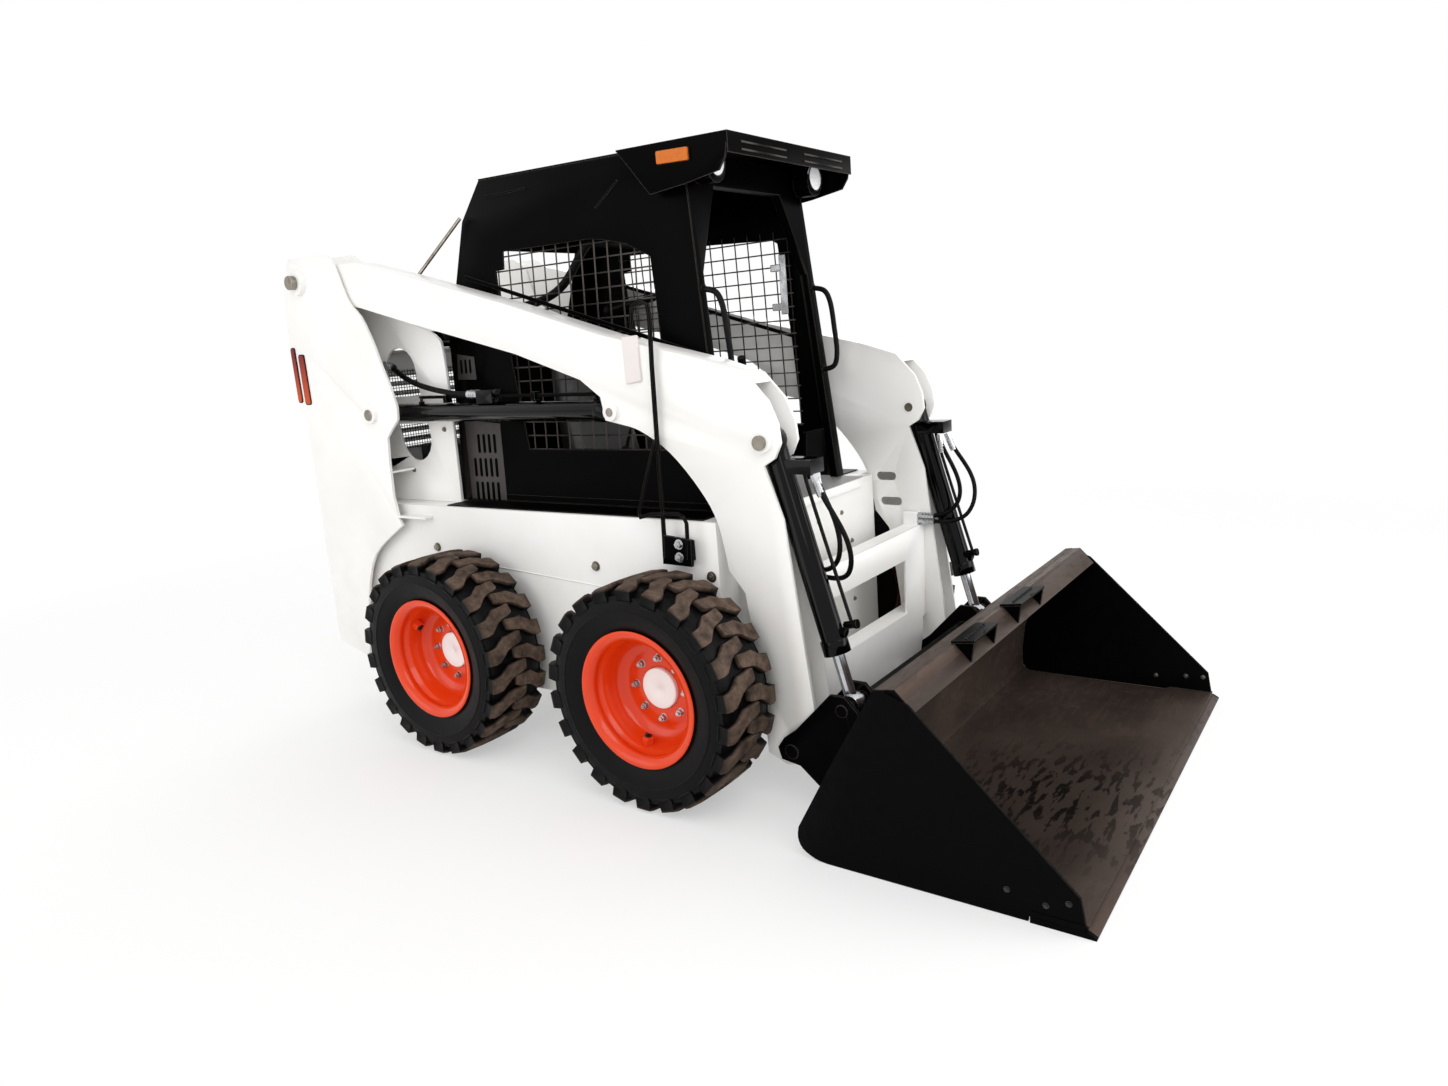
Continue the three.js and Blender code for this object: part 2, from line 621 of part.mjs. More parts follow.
function liftArm() {
  const pin = bore(PIVOT_PIN_R);
  const skin = plate(ARM_OUTLINE, ARM_IN, ARM_OUT);
  const pocket = plate(ARM_POCKET, ARM_IN + ARM_T, ARM_OUT - ARM_T);
  const inside = [ARM_IN + ARM_T - 1, CYL_X - EYE_W / 2 - 3];
  const outside = [CYL_X + EYE_W / 2 + 3, ARM_OUT - ARM_T + 1];
  return join(
    cut(
      join(skin, crossBar(PIVOT, ARM_IN - 0.5, ARM_OUT + 0.5, 48)),
      pocket,
      crossBar(PIVOT, ARM_IN - 5, ARM_OUT + 5, pin),
      crossBar(HINGE, ARM_IN - 5, ARM_OUT + 5, bore(24)),
    ),
    crossBar(LIFT_EYE, ...inside, 20),
    crossBar(LIFT_EYE, ...outside, 20),
    crossBar(LIFT_EYE, ARM_OUT - 1, ARM_OUT + 14, 30),
    crossBar(TILT_TOP, ARM_IN + 1, ARM_OUT + 26, 22),
    crossBar(TILT_TOP, ARM_OUT - 1, ARM_OUT + 14, 34),
  );
}
for (const [name, side] of SIDES) add(`lift_arm_${name}`, mirror(liftArm(), side), WHITE);

function crossmember() {
  const x = ARM_IN - GAP;
  const plateShape = wall([
    [-400, 190], [400, 190], [434, 290], [434, 340], [x, 350], [x, 715], [-x, 715], [-x, 350],
    [-434, 340], [-434, 290],
  ], -412, -402);
  const window = wall([[-290, 395], [290, 395], [290, 605], [-290, 605]], -420, -390);
  return join(
    cut(plateShape, window),
    block(-x, x, -404, -340, 705, 715),
    block(-400, 400, -404, -340, 190, 200),
    block(-x, x, -404, -340, 605, 613),
    block(-x, x, -404, -340, 387, 395),
    block(424, 464, -400, -345, 712, 764),
    block(-464, -424, -400, -345, 712, 764),
  );
}
add('arm_crossmember', crossmember(), WHITE);

// ---------------------------------------------------------------- cylinders
/** The barrel: eye at the base, body, gland; and a rod bore that stays open at the gland. */
function barrel(base, eye, reach, radius, rodRadius, collar, port) {
  const at = (length) => {
    const [y, z] = towards(base, eye, length);
    return [CYL_X, y, z];
  };
  const shell = join(
    crossBar(base, CYL_X - EYE_W / 2, CYL_X + EYE_W / 2, collar),
    bar(at(collar * 0.6), at(reach), radius),
    bar(at(reach - 46), at(reach), radius + 5),
    port,
  );
  return cut(
    shell,
    crossBar(base, CYL_X - EYE_W, CYL_X + EYE_W, bore(22)),
    bar(at(collar + 34), at(reach - 30), radius - 8),
    bar(at(reach - 60), at(reach + 10), rodRadius + 1.2),
  );
}

function rod(base, eye, reach, inside, rodRadius, pistonRadius, collar) {
  const at = (length) => {
    const [y, z] = towards(base, eye, length);
    return [CYL_X, y, z];
  };
  const whole = Math.hypot(eye[0] - base[0], eye[1] - base[1]);
  return join(
    crossBar(eye, CYL_X - EYE_W / 2, CYL_X + EYE_W / 2, collar),
    bar(at(inside), at(whole - collar * 0.5), rodRadius),
    bar(at(inside), at(inside + 40), pistonRadius),
  );
}

for (const [name, side] of SIDES) {
  const port = block(CYL_X - 24, CYL_X + 24, 848, 935, 1312, 1362);
  const lift = barrel(LIFT_BASE, LIFT_EYE, 1230, LIFT_BARREL_R, LIFT_ROD_R, 38, port);
  add(`lift_barrel_${name}`, mirror(lift, side), BLACK);
  const ram = rod(LIFT_BASE, LIFT_EYE, 1230, 80, LIFT_ROD_R, LIFT_BARREL_R - 8.3, 36);
  add(`lift_rod_${name}`, mirror(ram, side), CHROME);
  const head = block(464, 546, -506, -398, 1069.7, 1114);
  const tilt = barrel(TILT_TOP, TILT_EYE, 690, TILT_BARREL_R, TILT_ROD_R, 38, head);
  add(`tilt_barrel_${name}`, mirror(tilt, side), BLACK);
  const push = rod(TILT_TOP, TILT_EYE, 690, 165, TILT_ROD_R, TILT_BARREL_R - 8.3, 34);
  add(`tilt_rod_${name}`, mirror(push, side), CHROME);
}

// ---------------------------------------------------------------- carrier and bucket
const EAR = [
  [-372, 150], [-360, 190], [-385, 226], [-430, 260], [-560, 398], [-610, 398], [-654.7, 352], [-654.7, 60],
  [-620, 30], [-560, 40], [-440, 140],
];
const EAR_FACE = -656.7;

function carrier() {
  const parts = [];
  for (const side of [-1, 1]) {
    for (const [x0, x1] of [[ARM_IN - RUN - 12, ARM_IN - RUN], [ARM_OUT + RUN, ARM_OUT + RUN + 12]]) {
      parts.push(plate(EAR, side * x0, side * x1));
    }
    parts.push(crossBar(HINGE, side * (ARM_IN - RUN - 14), side * (ARM_OUT + RUN + 16), 24));
    parts.push(crossBar(TILT_EYE, side * (ARM_IN - RUN - 1), side * (CYL_X - EYE_W / 2 - 3), 20));
    parts.push(crossBar(TILT_EYE, side * (CYL_X + EYE_W / 2 + 3), side * (ARM_OUT + RUN + 16), 20));
    parts.push(block(side * (ARM_IN - RUN - 12), side * (ARM_OUT + RUN + 12), EAR_FACE + 2, EAR_FACE + 14, 30, 300));
  }
  parts.push(block(-(ARM_IN - RUN), ARM_IN - RUN, EAR_FACE + 2, EAR_FACE + 12, 210, 330));
  parts.push(block(-(ARM_IN - RUN), ARM_IN - RUN, EAR_FACE + 2, -560, 322, 332));
  parts.push(block(-(ARM_IN - RUN), ARM_IN - RUN, EAR_FACE + 2, EAR_FACE + 12, 30, 90));
  return join(parts);
}
add('bucket_carrier', carrier(), BLACK);

const BUCKET_SIDE = smoothed([
  [-696, 292], [-677, 255], [-590, 96], [-586, 62], [-600, 30], [-640, 8], [-680, 2], [-1255, 2],
  [-1255, EDGE_T + GAP], [-1398, EDGE_T + GAP], [-1384, 100], [-945, 526], [-872, 556], [-846, 552],
], 2, 6, 3);

function bucket() {
  const shellLine = [
    [-1400, EDGE_T + GAP], [-1255, EDGE_T + GAP], [-1225, 2], [-710, 2], [-668, 22], [-655, 64], [-677, 250],
    [-846, 552], [-880, 556],
  ];
  const shell = plate(bentSheet(shellLine, 10), -BUCKET_X + 1, BUCKET_X - 1);
  const parts = [shell];
  for (const side of [-1, 1]) parts.push(plate(BUCKET_SIDE, side * (BUCKET_X - BUCKET_T), side * BUCKET_X));
  parts.push(plate([[-846, 552], [-905, 560], [-960, 505], [-950, 495], [-900, 545]], -BUCKET_X + 5, BUCKET_X - 5));
  return join(parts);
}
add('bucket', bucket(), STEEL);

add('cutting_edge', plate([
  [-1423, 0], [-1260, 0], [-1260, EDGE_T], [-1404, EDGE_T], [-1423, 5],
], -BUCKET_X - 2, BUCKET_X + 2), STEEL);

// ---------------------------------------------------------------- rods, stay and hoses
/** The bent rods that stand outside the right-hand arm, on their bracket on the frame. */
function armRods() {
  const x = -598;
  const at = (points) => points.map(([y, z]) => [x, y, z]);
  const long = [[94, 1535], [90, 1600], [52, 1622], [20, 1596], [26, 1400], [31, 1181], [35, 916], [40, 790]];
  const short = [[40, 1181], [140, 924], [86, 934], [-34, 940], [-62, 916], [-56, 790]];
  return join(
    tube(at(long), 8, 8, 26),
    tube(at(short), 7, 8, 26, 0.15),
    plate([[39, 866], [-79, 856], [-74, 766], [46, 768]], x - 6, x + 6),
    plate([[20, 850], [-60, 846], [-60, 780], [20, 780]], x, -FRAME_X - GAP),
  );
}
add('arm_rods_right', armRods(), BLACK);

function cabStay() {
  return join(
    bar([-378, 1096, 2012], [-440, 1560, 1660], 7, 8),
    bar([-UP_IN + GAP, 1560, 1660], [-425, 1560, 1660], 14, 10),
  );
}
add('cab_stay', cabStay(), SILVER);

/** A hose along points. */
const hose = (points, radius) => tube(points, radius, 8, 36, 0.5);

const TILT_UPPER = [
  [446, -401, 751], [446, -434, 751], [454, -470, 752], [463, -502, 759],
  [472, -530, 776], [479, -549, 801], [483, -558, 832], [483, -558, 866],
  [481, -549, 905], [478, -533, 945], [476, -513, 985], [474, -496, 1022],
  [474, -487, 1048], [474, -485, 1061],
];
const TILT_LOWER = [
  [446, -401, 729], [446, -440, 729], [450, -480, 729], [459, -520, 730],
  [470, -553, 737], [482, -580, 753], [493, -597, 778], [503, -606, 808],
  [512, -607, 842], [519, -600, 878], [523, -584, 915], [523, -563, 950],
  [521, -541, 983], [518, -521, 1015], [515, -506, 1044], [514, -499, 1061],
];
for (const [name, side] of SIDES) {
  add(`tilt_hose_${name}_upper`, mirror(hose(TILT_UPPER, 8), side), RUBBER);
  add(`tilt_hose_${name}_lower`, mirror(hose(TILT_LOWER, 8), side), RUBBER);
}

const LIFT_RUN = [
  [474, 1560, 1478], [480, 1500, 1462], [492, 1420, 1424], [506, 1330, 1396], [518, 1235, 1376],
  [524, 1150, 1362], [524, 1060, 1350], [524, 936, 1345],
];
for (const [name, side] of SIDES) add(`lift_hose_${name}`, mirror(hose(LIFT_RUN, 11), side), RUBBER);

export default group;
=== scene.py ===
"""Skid steer loader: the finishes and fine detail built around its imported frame."""
import logging
import math
from collections.abc import Iterable, Sequence
from dataclasses import dataclass, field
from enum import Enum

import bmesh
import bpy
from mathutils import Matrix, Vector


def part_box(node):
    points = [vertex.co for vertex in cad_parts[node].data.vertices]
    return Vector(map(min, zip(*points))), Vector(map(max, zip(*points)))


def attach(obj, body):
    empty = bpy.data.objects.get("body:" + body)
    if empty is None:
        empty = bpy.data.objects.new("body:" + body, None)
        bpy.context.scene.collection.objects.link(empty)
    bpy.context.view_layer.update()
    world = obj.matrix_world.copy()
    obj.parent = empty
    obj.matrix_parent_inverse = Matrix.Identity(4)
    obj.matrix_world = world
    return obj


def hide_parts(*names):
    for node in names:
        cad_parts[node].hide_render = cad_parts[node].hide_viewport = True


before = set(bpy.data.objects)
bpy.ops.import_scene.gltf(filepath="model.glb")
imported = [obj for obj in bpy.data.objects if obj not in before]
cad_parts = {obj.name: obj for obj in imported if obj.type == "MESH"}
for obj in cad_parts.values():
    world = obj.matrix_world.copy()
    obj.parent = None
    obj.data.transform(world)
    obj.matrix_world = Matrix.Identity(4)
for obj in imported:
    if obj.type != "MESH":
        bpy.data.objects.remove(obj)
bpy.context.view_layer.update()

LOG = logging.getLogger("loader")
MM = 0.001
AXLE_Y = (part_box("axle_front_left")[0][1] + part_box("axle_front_left")[1][1]) / 2
Point = tuple[float, float, float]
Tree = bpy.types.NodeTree
Socket = bpy.types.NodeSocket
Mesh = bpy.types.Mesh
Thing = bpy.types.Object
Faces = bmesh.types.BMesh


class Side(Enum):
    """Right and left of the machine, as seen from its seat."""

    RIGHT = -1
    LEFT = 1

    @property
    def label(self) -> str:
        """Ending of the names of this side's nodes."""
        return self.name.lower()


def place(x: float, y: float, z: float) -> Vector:
    """Turns millimetres to a point of the frame.

    Args:
        x: Distance to the left of the middle plane.
        y: Distance behind the front axle.
        z: Height over the ground.

    Returns:
        The point in metres.
    """
    return Vector((x * MM, y * MM + AXLE_Y, z * MM))


def linear(code: str) -> tuple[float, float, float, float]:
    """Turns an sRGB hex colour to linear light.

    Args:
        code: Colour such as "#e8e4dc".

    Returns:
        The linear red, green, blue and an alpha of 1.
    """
    parts = [int(code[i:i + 2], 16) / 255 for i in (1, 3, 5)]
    red, green, blue = (c / 12.92 if c <= 0.04045 else ((c + 0.055) / 1.055) ** 2.4 for c in parts)
    return (red, green, blue, 1.0)


# ---------------------------------------------------------------- node building
def add_node(tree: Tree, kind: str, inputs: dict | None = None, **settings) -> bpy.types.Node:
    """Adds one node with its settings, values and links.

    Args:
        tree: Node tree that gets the node.
        kind: Blender's type name of the node.
        inputs: Input name or number to a value, or to the output socket that feeds it.
        **settings: Attributes set on the node.

    Returns:
        The new node.
    """
    node = tree.nodes.new(kind)
    for name, value in settings.items():
        setattr(node, name, value)
    for key, value in (inputs or {}).items():
        socket = node.inputs[key]
        if isinstance(value, Socket):
            tree.links.new(value, socket)
        else:
            socket.default_value = value
    return node


def ramp(tree: Tree, value: Socket, stops: Sequence[tuple]) -> Socket:
    """Runs a value through a colour ramp.

    Args:
        tree: Node tree that gets the ramp.
        value: Socket that drives it.
        stops: Pairs of position and colour, the colour as a hex code or a grey level.

    Returns:
        The ramp's colour output.
    """
    node = add_node(tree, "ShaderNodeValToRGB", {0: value})
    band = node.color_ramp
    while len(band.elements) < len(stops):
        band.elements.new(0.5)
    for element, (position, colour) in zip(band.elements, stops):
        element.position = position
        element.color = linear(colour) if isinstance(colour, str) else (colour, colour, colour, 1.0)
    return node.outputs["Color"]


def mixed(tree: Tree, share: object, first: object, second: object) -> Socket:
    """Mixes two colours.

    Args:
        tree: Node tree that gets the node.
        share: How much there is of the second.
        first: One colour, or its socket.
        second: The other.

    Returns:
        The result's socket.
    """
    node = add_node(tree, "ShaderNodeMix", {0: share, 6: first, 7: second}, data_type="RGBA")
    return node.outputs[2]


def maths(tree: Tree, kind: str, first: object, second: object) -> Socket:
    """Does one sum on two values, kept between 0 and 1.

    Args:
        tree: Node tree that gets the node.
        kind: Blender's name of the sum.
        first: One value, or its socket.
        second: The other.

    Returns:
        The result's socket.
    """
    node = add_node(tree, "ShaderNodeMath", {0: first, 1: second}, operation=kind, use_clamp=True)
    return node.outputs[0]


class Surface:
    """A material under construction: its tree, its shader and patterns on Object coordinates."""

    def __init__(self, name: str, **values: object) -> None:
        """Starts a material.

        Args:
            name: The material's name.
            **values: Shader inputs by name, with _ for a space.
        """
        self.material = bpy.data.materials.new(name)
        self.material.use_nodes = True
        self.tree = self.material.node_tree
        self.shader = self.tree.nodes["Principled BSDF"]
        for key, value in values.items():
            self.shader.inputs[key.replace("_", " ")].default_value = value
        self.coordinates = add_node(self.tree, "ShaderNodeTexCoord").outputs["Object"]

    def noise(self, size: float, detail: float = 4, stretch: Point = (1, 1, 1), **more: float) -> Socket:
        """Adds a noise pattern.

        Args:
            size: About how wide its blotches are, in millimetres.
            detail: How many finer layers it has.
            stretch: Scale of the pattern along x, y and z; less than 1 draws it out.
            **more: Other inputs of the node by name.

        Returns:
            The pattern's socket.
        """
        mapped = add_node(self.tree, "ShaderNodeMapping", {"Vector": self.coordinates, "Scale": stretch})
        inputs = {"Vector": mapped.outputs[0], "Scale": 1 / (size * MM), "Detail": detail, **more}
        return add_node(self.tree, "ShaderNodeTexNoise", inputs).outputs["Fac"]

    def height(self) -> Socket:
        """How high a point stands over the ground, in metres."""
        return add_node(self.tree, "ShaderNodeSeparateXYZ", {0: self.coordinates}).outputs["Z"]

    def across(self) -> Socket:
        """How far out a point is from the machine's middle plane, in metres."""
        apart = add_node(self.tree, "ShaderNodeSeparateXYZ", {0: self.coordinates})
        return add_node(self.tree, "ShaderNodeMath", {0: apart.outputs["X"]}, operation="ABSOLUTE").outputs[0]

    def edges(self, width: float) -> Socket:
        """Finds the edges, where a colour is painted along them, such as a painted highlight.

        Args:
            width: How far from an edge it still counts, in millimetres.

        Returns:
            A socket that is 1 on an edge and 0 away from it.
        """
        rounded = add_node(self.tree, "ShaderNodeBevel", {"Radius": width * MM})
        true = add_node(self.tree, "ShaderNodeNewGeometry").outputs["True Normal"]
        same = add_node(self.tree, "ShaderNodeVectorMath", {0: rounded.outputs[0], 1: true},
                        operation="DOT_PRODUCT").outputs["Value"]
        return ramp(self.tree, same, [(0.86, 1.0), (0.97, 0.0)])

    def colour(self, socket: Socket) -> None:
        """Feeds the shader's colour.

        Args:
            socket: What feeds it.
        """
        self.tree.links.new(socket, self.shader.inputs["Base Color"])

    def roughness(self, socket: Socket) -> None:
        """Feeds the shader's roughness.

        Args:
            socket: What feeds it.
        """
        self.tree.links.new(socket, self.shader.inputs["Roughness"])

    def bump(self, height: Socket, depth: float, strength: float = 1.0) -> None:
        """Adds relief, on top of any there is.

        Args:
            height: The relief's pattern.
            depth: How deep it is in millimetres.
            strength: How much of it shows.
        """
        inputs = {"Height": height, "Distance": depth * MM, "Strength": strength}
        before = self.shader.inputs["Normal"]
        if before.is_linked:
            inputs["Normal"] = before.links[0].from_socket
        node = add_node(self.tree, "ShaderNodeBump", inputs)
        self.tree.links.new(node.outputs[0], before)


# ---------------------------------------------------------------- finishes
@dataclass(frozen=True)
class Paint:
    """Sprayed and baked enamel: a slight orange peel, dust that settles low down, and rubbed patches. Where
    set, an edge colour is painted along the edges (a painted highlight on the black enamel, a darker edge on
    the pale box), and nearer the middle plane than a set distance the colour turns to painted shade.
    """

    name: str
    base: str
    shade: str
    dust: str = "#b9aa96"
    gloss: float = 0.3
    peel: float = 0.02
    dusty: float = 0.1
    shine: float = 0.5
    coat: float = 0.2
    # Colour painted along the edges: a painted highlight on the black enamel, a darker edge on the pale box.
    edge: str = ""
    edge_width: float = 3.0
    # Nearer the middle plane than this, in metres, the colour turns to painted shade; 0 for none.
    painted_shade_inside: float = 0.0

    def build(self) -> bpy.types.Material:
        """Makes the material."""
        surface = Surface(self.name, Coat_Weight=self.coat, Coat_Roughness=0.12, IOR=1.5,
                          Specular_IOR_Level=self.shine)
        tree = surface.tree
        cloud = surface.noise(420, 5)
        clouded = ramp(tree, cloud, [(0.35, 0.0), (0.7, 1.0)])
        tone = mixed(tree, clouded, linear(self.base), linear(self.shade))
        low = add_node(tree, "ShaderNodeMapRange", {
            0: surface.height(), 1: 0.15, 2: 0.9, 3: self.dusty, 4: self.dusty * 0.12,
        }).outputs[0]
        grime = maths(tree, "MULTIPLY", low, ramp(tree, surface.noise(70, 8), [(0.42, 0.0), (0.75, 1.0)]))
        rubbed = ramp(tree, surface.noise(16, 10, (1, 1, 0.25)), [(0.62, 0.0), (0.8, 1.0)])
        painted = mixed(tree, grime, tone, linear(self.dust))
        # Edge colour painted along the edges: a painted highlight on black enamel, a darker edge on the pale
        # box.
        if self.edge:
            painted = mixed(tree, surface.edges(self.edge_width), painted, linear(self.edge))
        # Painted shade over the inside of the rim, nearer the middle plane than the set distance.
        if self.painted_shade_inside:
            inside = add_node(tree, "ShaderNodeMapRange", {
                0: surface.across(), 1: self.painted_shade_inside + 0.02, 2: self.painted_shade_inside, 3: 0.0, 4: 0.94,
            }).outputs[0]
            painted = mixed(tree, inside, painted, linear("#17110e"))
        surface.colour(painted)
        rough = add_node(tree, "ShaderNodeMapRange", {0: cloud, 3: self.gloss * 0.8, 4: self.gloss * 1.25})
        wear = maths(tree, "MULTIPLY", rubbed, 0.12)
        dulled = maths(tree, "ADD", wear, maths(tree, "MULTIPLY", grime, 0.6))
        surface.roughness(maths(tree, "ADD", rough.outputs[0], dulled))
        surface.bump(surface.noise(2.6, 2), self.peel * 4, 0.35)
        surface.bump(surface.noise(190, 2), 0.5, 0.25)
        return surface.material


@dataclass(frozen=True)
class TyreRubber:
    """Moulded tyre rubber: satin black on the sidewall, scuffed brown where the lugs meet the ground."""

    name: str
    centre_y: float
    centre_z: float
    tread_from: float

    def build(self) -> bpy.types.Material:
        """Makes the material."""
        surface = Surface(self.name, Specular_IOR_Level=0.12)
        tree = surface.tree
        centred = add_node(tree, "ShaderNodeMapping", {
            "Vector": surface.coordinates, "Scale": (0, 1, 1),
            "Location": (0, -self.centre_y, -self.centre_z),
        })
        radius = add_node(tree, "ShaderNodeVectorMath", {0: centred.outputs[0]}, operation="LENGTH")
        tread = add_node(tree, "ShaderNodeMapRange", {
            0: radius.outputs[1], 1: self.tread_from - 0.001, 2: self.tread_from + 0.010,
        }).outputs[0]
        patch = ramp(tree, surface.noise(38, 9), [(0.3, 0.25), (0.65, 1.0)])
        worn = maths(tree, "MULTIPLY", tread, patch)
        film = maths(tree, "MULTIPLY", ramp(tree, surface.noise(60, 8), [(0.45, 0.0), (0.8, 1.0)]), 0.22)
        side = mixed(tree, film, linear("#030304"), linear("#171514"))
        top = mixed(tree, surface.noise(12, 8), linear("#4a3b32"), linear("#7a675a"))
        surface.colour(mixed(tree, worn, side, top))
        rough = add_node(tree, "ShaderNodeMapRange", {0: worn, 3: 0.42, 4: 0.82}).outputs[0]
        surface.roughness(maths(tree, "ADD", rough, maths(tree, "MULTIPLY", film, 0.5)))
        surface.bump(surface.noise(3, 6), 0.35, 0.5)
        surface.bump(surface.noise(26, 4), 0.9, 0.3)
        return surface.material


@dataclass(frozen=True)
class Rubber:
    """Extruded rubber hose or grip: matt black with a cloth wrap just felt under the skin."""

    name: str
    base: str = "#040404"
    grain: float = 2.4

    def build(self) -> bpy.types.Material:
        """Makes the material."""
        surface = Surface(self.name, Specular_IOR_Level=0.1)
        tree = surface.tree
        film = ramp(tree, surface.noise(24, 8), [(0.45, 0.0), (0.85, 1.0)])
        surface.colour(mixed(tree, maths(tree, "MULTIPLY", film, 0.4), linear(self.base), linear("#22201f")))
        surface.roughness(ramp(tree, surface.noise(30, 4), [(0.3, 0.4), (0.7, 0.6)]))
        surface.bump(surface.noise(self.grain, 3), 0.35, 0.6)
        return surface.material


@dataclass(frozen=True)
class Metal:
    """Bare or plated metal: brushed or cast, with stains in its roughness."""

    name: str
    base: str
    stain: str
    gloss: float = 0.2
    grain: float = 1.2
    relief: float = 0.05
    stretch: Point = (1, 1, 1)

    def build(self) -> bpy.types.Material:
        """Makes the material."""
        surface = Surface(self.name, Metallic=1.0)
        tree = surface.tree
        stains = ramp(tree, surface.noise(45, 8), [(0.4, 0.0), (0.75, 1.0)])
        surface.colour(mixed(tree, stains, linear(self.base), linear(self.stain)))
        fine = surface.noise(self.grain * 3, 5, self.stretch)
        spread = add_node(tree, "ShaderNodeMapRange", {0: fine, 3: self.gloss * 0.6, 4: self.gloss * 1.5})
        surface.roughness(maths(tree, "ADD", spread.outputs[0], maths(tree, "MULTIPLY", stains, 0.12)))
        surface.bump(fine, self.relief * 3, 0.4)
        return surface.material


@dataclass(frozen=True)
class WornSteel:
    """Bucket plate: brown-grey steel polished by loads, with black smears and drag marks.

    Its side plates are painted black on both faces.
    """

    name: str
    painted_from: float = 0.8565

    def build(self) -> bpy.types.Material:
        """Makes the material."""
        surface = Surface(self.name, Specular_IOR_Level=0.04)
        tree = surface.tree
        painted = maths(tree, "GREATER_THAN", surface.across(), self.painted_from)
        broad = surface.noise(300, 4)
        bloom = ramp(tree, broad, [(0.3, 0.0), (0.75, 1.0)])
        scale = mixed(tree, bloom, linear("#453a34"), linear("#574b44"))
        smear = ramp(tree, surface.noise(40, 10, (0.5, 1.9, 1)), [(0.52, 0.0), (0.56, 1.0)])
        patch = add_node(tree, "ShaderNodeVectorMath", {0: surface.coordinates, 1: place(-200, -1130, 0)},
                         operation="DISTANCE").outputs[1]
        near = add_node(tree, "ShaderNodeMapRange", {0: patch, 1: 0.12, 2: 0.56, 3: 0.95, 4: 0.0}).outputs[0]
        smeared = mixed(tree, maths(tree, "MULTIPLY", smear, near), scale, linear("#0d0b0a"))
        drag = ramp(tree, surface.noise(8, 8, (0.9, 0.06, 0.9)), [(0.62, 0.0), (0.74, 1.0)])
        steel = mixed(tree, maths(tree, "MULTIPLY", drag, 0.16), smeared, linear("#7d746b"))
        surface.colour(mixed(tree, painted, steel, linear("#030304")))
        bare = add_node(tree, "ShaderNodeMath", {0: painted, 1: -0.6, 2: 0.6}, operation="MULTIPLY_ADD")
        tree.links.new(bare.outputs[0], surface.shader.inputs["Metallic"])
        rough = add_node(tree, "ShaderNodeMapRange", {0: broad, 3: 0.4, 4: 0.52}).outputs[0]
        surface.roughness(maths(tree, "ADD", rough, maths(tree, "MULTIPLY", smear, 0.12)))
        surface.bump(surface.noise(5, 6), 0.2, 0.35)
        surface.bump(broad, 2.0, 0.3)
        return surface.material


@dataclass(frozen=True)
class Vinyl:
    """Calendered seat vinyl: leather grain, shinier where it is sat on."""

    name: str
    base: str = "#1b1b1d"
    grain: float = 3.5

    def build(self) -> bpy.types.Material:
        """Makes the material."""
        surface = Surface(self.name, IOR=1.5)
        tree = surface.tree
        surface.colour(mixed(tree, surface.noise(90, 5), linear(self.base), linear("#2a2927")))
        surface.roughness(ramp(tree, surface.noise(120, 3), [(0.3, 0.42), (0.7, 0.6)]))
        grain = {"Vector": surface.coordinates, "Scale": 1 / (self.grain * MM)}
        cells = add_node(tree, "ShaderNodeTexVoronoi", grain)
        surface.bump(cells.outputs["Distance"], 0.4, 0.5)
        return surface.material


@dataclass(frozen=True)
class Lens:
    """Moulded lamp lens: clear-coated plastic with fine flutes, one colour below and another above, and a
    faint painted glow.
    """

    name: str
    low: str
    high: str
    change: tuple[float, float] = (0.0, 1.0)
    # Strength of the painted glow in the lens's own colour.
    glow: float = 0.15

    def build(self) -> bpy.types.Material:
        """Makes the material."""
        surface = Surface(self.name, Roughness=0.16, Coat_Weight=0.1, Coat_Roughness=0.04, IOR=1.49,
                          Specular_IOR_Level=0.25)
        tree = surface.tree
        share = add_node(tree, "ShaderNodeMapRange", {
            0: surface.height(), 1: self.change[0], 2: self.change[1],
        }).outputs[0]
        tone = mixed(tree, share, linear(self.low), linear(self.high))
        mottled = mixed(tree, maths(tree, "MULTIPLY", surface.noise(9, 3), 0.35), tone, linear("#2a1208"))
        surface.colour(mottled)
        # Painted glow: the lens gives off its own colour as light.
        tree.links.new(mottled, surface.shader.inputs["Emission Color"])
        surface.shader.inputs["Emission Strength"].default_value = self.glow
        flutes = add_node(tree, "ShaderNodeTexWave", {
            "Vector": surface.coordinates, "Scale": 1 / (9 * MM), "Distortion": 0.0,
        }, bands_direction="Z")
        surface.bump(flutes.outputs["Fac"], 0.5, 0.5)
        return surface.material


WHITE = Paint("white_enamel", "#faf9f7", "#f4f2ee", gloss=0.32)
# Its edge colour is a painted highlight along every edge.
BLACK = Paint("black_satin_enamel", "#020202", "#050505", dust="#2c2926", gloss=0.3, dusty=0.04, shine=0.02,
              coat=0.0, edge="#55504d")
GLOSSY = Paint("black_gloss_enamel", "#010101", "#030303", dust="#2c2926", gloss=0.09, dusty=0.02, shine=0.16,
               coat=0.0)
# Its inside, nearer the middle plane than 0.7 m, is darkened with painted shade.
ORANGE = Paint("orange_rim_enamel", "#e8420f", "#dc390b", dust="#8a6a55", gloss=0.16, dusty=0.06, shine=0.3,
               coat=0.2, painted_shade_inside=0.7)
CAST = Metal("cast_iron", "#4a4b4d", "#2b2a29", gloss=0.5, relief=0.2)
CHROME = Metal("hard_chrome_rod", "#c9cbcf", "#a4a7ab", gloss=0.12, relief=0.01)
ZINC = Metal("zinc_plated_steel", "#958f85", "#6f665b", gloss=0.32, relief=0.04)
BRIGHT = Metal("bright_crimped_fitting", "#c4c6c8", "#9b9c9e", gloss=0.22, relief=0.03)
STEEL = WornSteel("worn_bucket_steel")
HOSE = Rubber("wrapped_hydraulic_hose")
SEAL = Rubber("moulded_rubber_grip", "#0b0b0c", grain=4)
